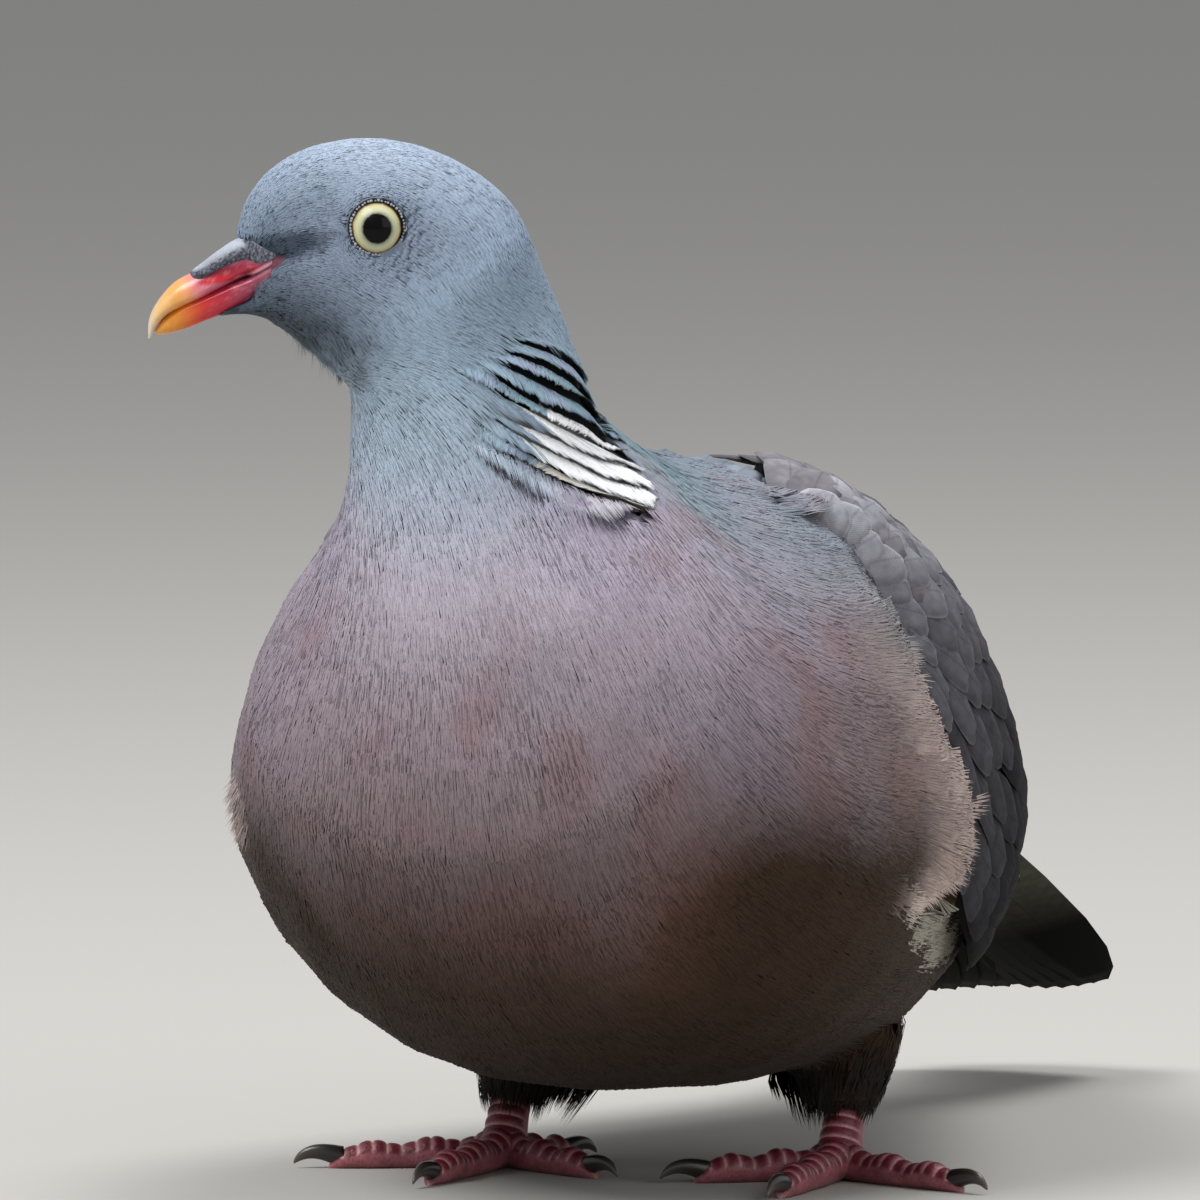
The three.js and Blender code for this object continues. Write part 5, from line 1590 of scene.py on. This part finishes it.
# The mouth's line, on the head's own axes.
MOUTH_BACK = [-37, -30, -26.6, -23.6, -21.3, -19.8, -18, -16.3]
MOUTH_UP = [-17, -12.3, -10.6, -9.2, -8.3, -7.35, -6.2, -5.15]


def lip_lines(colour, places):
    """The mouth's dark line over the gape, with pale ridges and a second fold beside it."""
    back, up, _ = from_skull(places)
    off = up - np.interp(back, MOUTH_BACK, MOUTH_UP)
    behind = blend_step(back, -23.5, -21)
    colour = mixed(colour, linear("#d9a2b0"), 0.6 * behind * np.exp(-(((off - 0.55) / 0.25) ** 2)))
    colour = mixed(colour, linear("#4a1a28"), 0.7 * behind * np.exp(-(((off - 1.15) / 0.16) ** 2)))
    colour = mixed(colour, linear("#c98a9a"), 0.5 * behind * np.exp(-(((off + 0.6) / 0.22) ** 2)))
    return mixed(colour, linear("#2a0e16"), 0.9 * behind * np.exp(-((off / 0.2) ** 2)))


def upper_tint(places):
    """Yellow hook, pink side, and crimson along the swelling and in the slit nostril."""
    back, up, _ = from_skull(places)
    down_bill = back + 0.35 * (up + 12)
    colour = ramp_of(
        down_bill,
        [(-39.5, "#d8cbb4"), (-38, "#e2bd86"), (-33.5, "#e6a352"), (-31.5, "#e59a66"), (-29.8, "#dc7f84"),
         (-27.5, "#cc6a80"), (-24, "#bd5a78"), (-18, "#a0546c"), (-13, "#8a4c5e")],
    )
    swelling = np.hypot((back + 25.2) / 5.2, (up + 7.9 - 0.26 * (back + 25.2)) / 1.1)
    colour = mixed(colour, linear("#ad1636"), 0.95 * blend_step(1.2 - swelling, 0, 0.35))
    nostril = np.hypot((back + 27.0) / 2.3, (up + 8.8 - 0.22 * (back + 27.0)) / 0.45)
    colour = mixed(colour, linear("#d80e18"), 0.95 * blend_step(1.25 - nostril, 0, 0.4))
    streak = blend_step(noise_at(places * [1, 1, 3.0], 1.6, 12), 0.15, 0.5)
    return lip_lines(mixed(colour, linear("#ecc6c4"), 0.2 * streak * (back > -31)), places)


def lower_tint(places):
    """Orange tip, red middle and dull pink gape."""
    back, _, _ = from_skull(places)
    colour = ramp_of(
        back,
        [(-38, "#e6a94f"), (-33.5, "#e48d24"), (-31, "#dc5a22"), (-29, "#cf2626"), (-26, "#b81a38"),
         (-22.5, "#9a2c4c"), (-18, "#8a4458"), (-13, "#7d5560")],
    )
    streak = blend_step(noise_at(places * [1, 1, 3.0], 1.4, 13), 0.2, 0.5)
    return lip_lines(mixed(colour, linear("#e2a3ab"), 0.2 * streak * (back > -29)), places)


bill_piece("mandible_upper", UPPER_BILL, 64, horn_material, "bill_horn", "bill_upper", upper_tint)
bill_piece("mandible_lower", LOWER_BILL, 54, horn_material, "bill_horn", "bill_lower", lower_tint)
bill_piece("cere_swelling", CERE, 44, cere_material, "bill_cere", "cere")

# ------------------------------------------------------------------ feet
# Bare legs and toes: a row of crimson scutes with pale seams along the top and the front, small grains of
# pink skin at the sides, pads below, and smooth, dark, curved claws.
FEET = {"left": (34.5, 14.0, 1, 1.0), "right": (-25.0, 14.0, -1, 1.05)}
PAD_RADIUS, PAD_UP = 5.2, 4.4
# Heading outwards from straight ahead in degrees, length, claw length, thickness, number of scutes.
TOES = {
    "hind": (-155, 13, 7, 2.4, 6),
    "inner": (-55, 22, 7, 2.5, 10),
    "middle": (2, 30, 8, 2.65, 14),
    "outer": (63, 26.5, 7, 2.4, 12),
}
SCUTE_RED, SCUTE_SEAM = linear("#641a29"), linear("#cf9a98")
SIDE_PINK, SOLE = linear("#94545c"), linear("#7d5048")
CLAW_ROOT, CLAW_TIP = linear("#1d1918"), linear("#5b5048")
SHANK_SCUTES = 9


def scute_wave(along, scutes):
    """Height from 0 to 1 of the scutes at a place along them, and how near it is to a seam."""
    local = (along * scutes) % 1.0
    return math.sin(math.pi * min(1.0, local * 1.02)) ** 0.45, math.exp(-((min(local, 1 - local) / 0.13) ** 2))


def toe_frame(foot, toe):
    """Where a toe starts, and the directions along it and across it."""
    x, y, sign, spread = FEET[foot]
    heading = TOES[toe][0] * (spread if abs(TOES[toe][0]) < 90 else 1) * sign
    turn = math.radians(heading)
    start = np.array([x, y, 0.0]) + STANCE
    return start, np.array([math.sin(turn), -math.cos(turn), 0]), np.array([math.cos(turn), math.sin(turn), 0])


def toe_point(foot, toe, along, angle):
    """A point of a toe, from the pad at 0 to its rounded end at 1."""
    start, ahead, across = toe_frame(foot, toe)
    _, long, _, thick, scutes = TOES[toe]
    length = long + PAD_RADIUS * 0.6
    knuckle = 0.1 * math.sin(along * 6 * math.pi)
    bare = thick * min(1.22 - 0.38 * along + knuckle, 2.3 * math.sqrt(1.0005 - along) + 0.06)
    high, _ = scute_wave(along, scutes)
    top = max(0.0, math.sin(angle))
    radius = bare + 0.42 * (high - 0.6) * blend_step(top, 0.25, 0.7) * min(1, bare / 2)
    up = bare - 0.4 + 3 * max(0, 0.35 - along) ** 1.5
    z = max(0.0, up + math.sin(angle) * radius)
    return start + ahead * along * length + across * math.cos(angle) * radius + np.array([0, 0, z])


def claw_point(foot, toe, along, angle):
    """A point of a toe's claw, which curves down to the ground."""
    start, ahead, across = toe_frame(foot, toe)
    _, long, claw, thick, _ = TOES[toe]
    root, high = long + PAD_RADIUS * 0.6 - 2.6, thick * 0.7
    bend = math.radians(along * 70)
    radius = 1.62 * (1 - along) ** 0.8 + 0.12
    c, s = math.cos(angle) * radius * 0.85, math.sin(angle) * radius * 1.15
    reach = root + (claw + 2.4) * math.sin(bend) * 0.95
    drop = high + 1.2 * math.sin(math.pi * along) - (high - 0.9) * along * along
    z = max(0.0, drop + s * math.cos(bend * 0.6))
    return start + ahead * (reach + s * math.sin(bend * 0.6)) + across * c + np.array([0, 0, z])


def shank_point(foot, along, angle):
    """A point of the bare shank, from the pad at 0 up into the shin's feathers at 1."""
    x, y, _, _ = FEET[foot]
    lean = math.radians(26)
    high, _ = scute_wave(along, SHANK_SCUTES)
    front = max(0.0, -math.sin(angle))
    reach = (along * 1.25 - 0.02) * 14
    radius = 3.0 + 0.7 * along + 0.9 * (1 - along) ** 4 + 0.4 * (high - 0.6) * blend_step(front, 0.2, 0.6)
    c, s = math.cos(angle) * radius, math.sin(angle) * radius * 1.08
    back, up = math.sin(lean) * reach + math.cos(lean) * s, math.cos(lean) * reach - math.sin(lean) * s
    return STANCE + np.array([x + c, y + back, PAD_UP + up])


# Skin of the leg: dry scutes with a low sheen, and grains of about 0.7 mm between them.
scute_material, tree = new_material("leg_scutes_and_skin")
marking = add(tree, "ShaderNodeAttribute", attribute_name="markings")
place = add(tree, "ShaderNodeTexCoord")
grains = add(
    tree, "ShaderNodeTexVoronoi",
    {"Vector": place.outputs["Object"], "Scale": 1150.0}, feature="DISTANCE_TO_EDGE",
)
tone = add(
    tree, "ShaderNodeMapRange",
    {"Value": grains.outputs["Distance"], "From Max": 0.16, "To Min": 1.22, "To Max": 0.94},
)
blotch = add(tree, "ShaderNodeTexNoise", {"Vector": place.outputs["Object"], "Scale": 350.0, "Detail": 3.0})
dirt = add(
    tree, "ShaderNodeMapRange",
    {"Value": blotch.outputs["Fac"], "From Min": 0.3, "From Max": 0.7, "To Min": 0.75, "To Max": 1.2},
)
both = add(tree, "ShaderNodeMath", {0: tone.outputs[0], 1: dirt.outputs[0]}, operation="MULTIPLY")
shade = add(
    tree, "ShaderNodeVectorMath",
    {0: marking.outputs["Color"], 1: both.outputs[0]}, operation="MULTIPLY",
)
relief = add(
    tree, "ShaderNodeBump",
    {"Height": grains.outputs["Distance"], "Strength": 0.4, "Distance": 0.0003},
)
finish_material(
    tree,
    add(
        tree, "ShaderNodeBsdfPrincipled",
        {"Base Color": shade.outputs[0], "Normal": relief.outputs[0], "Roughness": 0.48, "Specular IOR Level": 0.45,
         "Subsurface Weight": 0.08, "Subsurface Scale": 0.002},
    ),
)
# Claw horn: dense, dark keratin, polished by wear, greyer towards the point.
claw_material, tree = new_material("claw_horn_keratin")
marking = add(tree, "ShaderNodeAttribute", attribute_name="markings")
finish_material(
    tree,
    add(
        tree, "ShaderNodeBsdfPrincipled",
        {"Base Color": marking.outputs["Color"], "Roughness": 0.3, "Coat Weight": 0.2, "Coat Roughness": 0.25},
    ),
)


def scute_tone(along, angle, scutes, facing):
    """Scutes with pale seams above for a facing of 1 or in front for -1, pink sides, and pads opposite."""
    _, seam = scute_wave(along, scutes)
    plated = float(blend_step(max(0.0, facing * math.sin(angle)), 0.12, 0.4))
    plate = SCUTE_RED + (SCUTE_SEAM - SCUTE_RED) * (0.75 * seam + 0.15 * (1 - plated))
    bare = SIDE_PINK + (SOLE - SIDE_PINK) * float(blend_step(-facing * math.sin(angle), 0.4, 0.9))
    return bare + (plate - bare) * plated


def claw_tone(along, angle):
    """Nearly black at the root, greyer towards the point."""
    return CLAW_ROOT + (CLAW_TIP - CLAW_ROOT) * along**2


def limb_piece(name, limbs, material, slot, *stands_for):
    """One piece from limbs, each with its rings and sides and the functions for its places and its colours."""
    made = bmesh.new()
    tones = []
    for rings, sides, limb_place, limb_tone in limbs:
        def toned(along, angle):
            tones.append(limb_tone(along, angle))
            return limb_place(along, angle)

        loft(made, rings, sides, toned)
    bmesh.ops.recalc_face_normals(made, faces=made.faces)
    piece = object_of(made, name)
    colour_attribute(piece.data, np.array(tones))
    unwrap(piece)
    finish_piece(piece, material, slot, *stands_for)


for foot in FEET:
    limbs = [(46, 24, partial(shank_point, foot), partial(scute_tone, scutes=SHANK_SCUTES, facing=-1))]
    for toe, (*_, scutes) in TOES.items():
        tone_of = partial(scute_tone, scutes=scutes, facing=1)
        limbs.append((scutes * 6 + 1, 22, partial(toe_point, foot, toe), tone_of))
    toes, claws = ([f"{part}_{toe}_{foot}" for toe in TOES] for part in ("toe", "claw"))
    limb_piece(f"scaled_foot_{foot}", limbs, scute_material, "leg_skin", f"shank_{foot}", *toes)
    limbs = [(18, 14, partial(claw_point, foot, toe), claw_tone) for toe in TOES]
    limb_piece(f"claws_{foot}", limbs, claw_material, "claw_horn", *claws)

# ------------------------------------------------------------------ floor and light
# A plain pale floor that runs out beyond the picture, a large soft light from the upper left and a weak fill.
floor_mesh = bmesh.new()
bmesh.ops.create_grid(floor_mesh, x_segments=1, y_segments=1, size=9)
floor = object_of(floor_mesh, "floor")
paper, tree = new_material("backdrop_paper")
finish_material(
    tree, add(tree, "ShaderNodeBsdfPrincipled", {"Base Color": (*linear("#b4b1ac"), 1), "Roughness": 0.9})
)
floor.data.materials.append(paper)

world = bpy.data.worlds.new("studio")
bpy.context.scene.world = world
world.use_nodes = True
world.node_tree.nodes["Background"].inputs["Color"].default_value = (*linear("#dfe2e6"), 1)
world.node_tree.nodes["Background"].inputs["Strength"].default_value = 0.56
bpy.context.scene.view_settings.view_transform = "Standard"


def soft_light(name, place, size, power):
    """A square soft light that looks at the middle of the bird."""
    lamp = bpy.data.lights.new(name, "AREA")
    lamp.size = size
    lamp.energy = power
    piece = bpy.data.objects.new(name, lamp)
    piece.location = place
    piece.rotation_euler = (Vector((0, 0, 0.09)) - Vector(place)).to_track_quat("-Z", "Y").to_euler()
    bpy.context.scene.collection.objects.link(piece)


soft_light("key", (-0.72, -1.18, 1.8), 1.1, 41)
soft_light("fill", (1.5, -0.8, 0.7), 1.2, 6)
soft_light("top", (0.3, 0.5, 1.7), 0.8, 18)
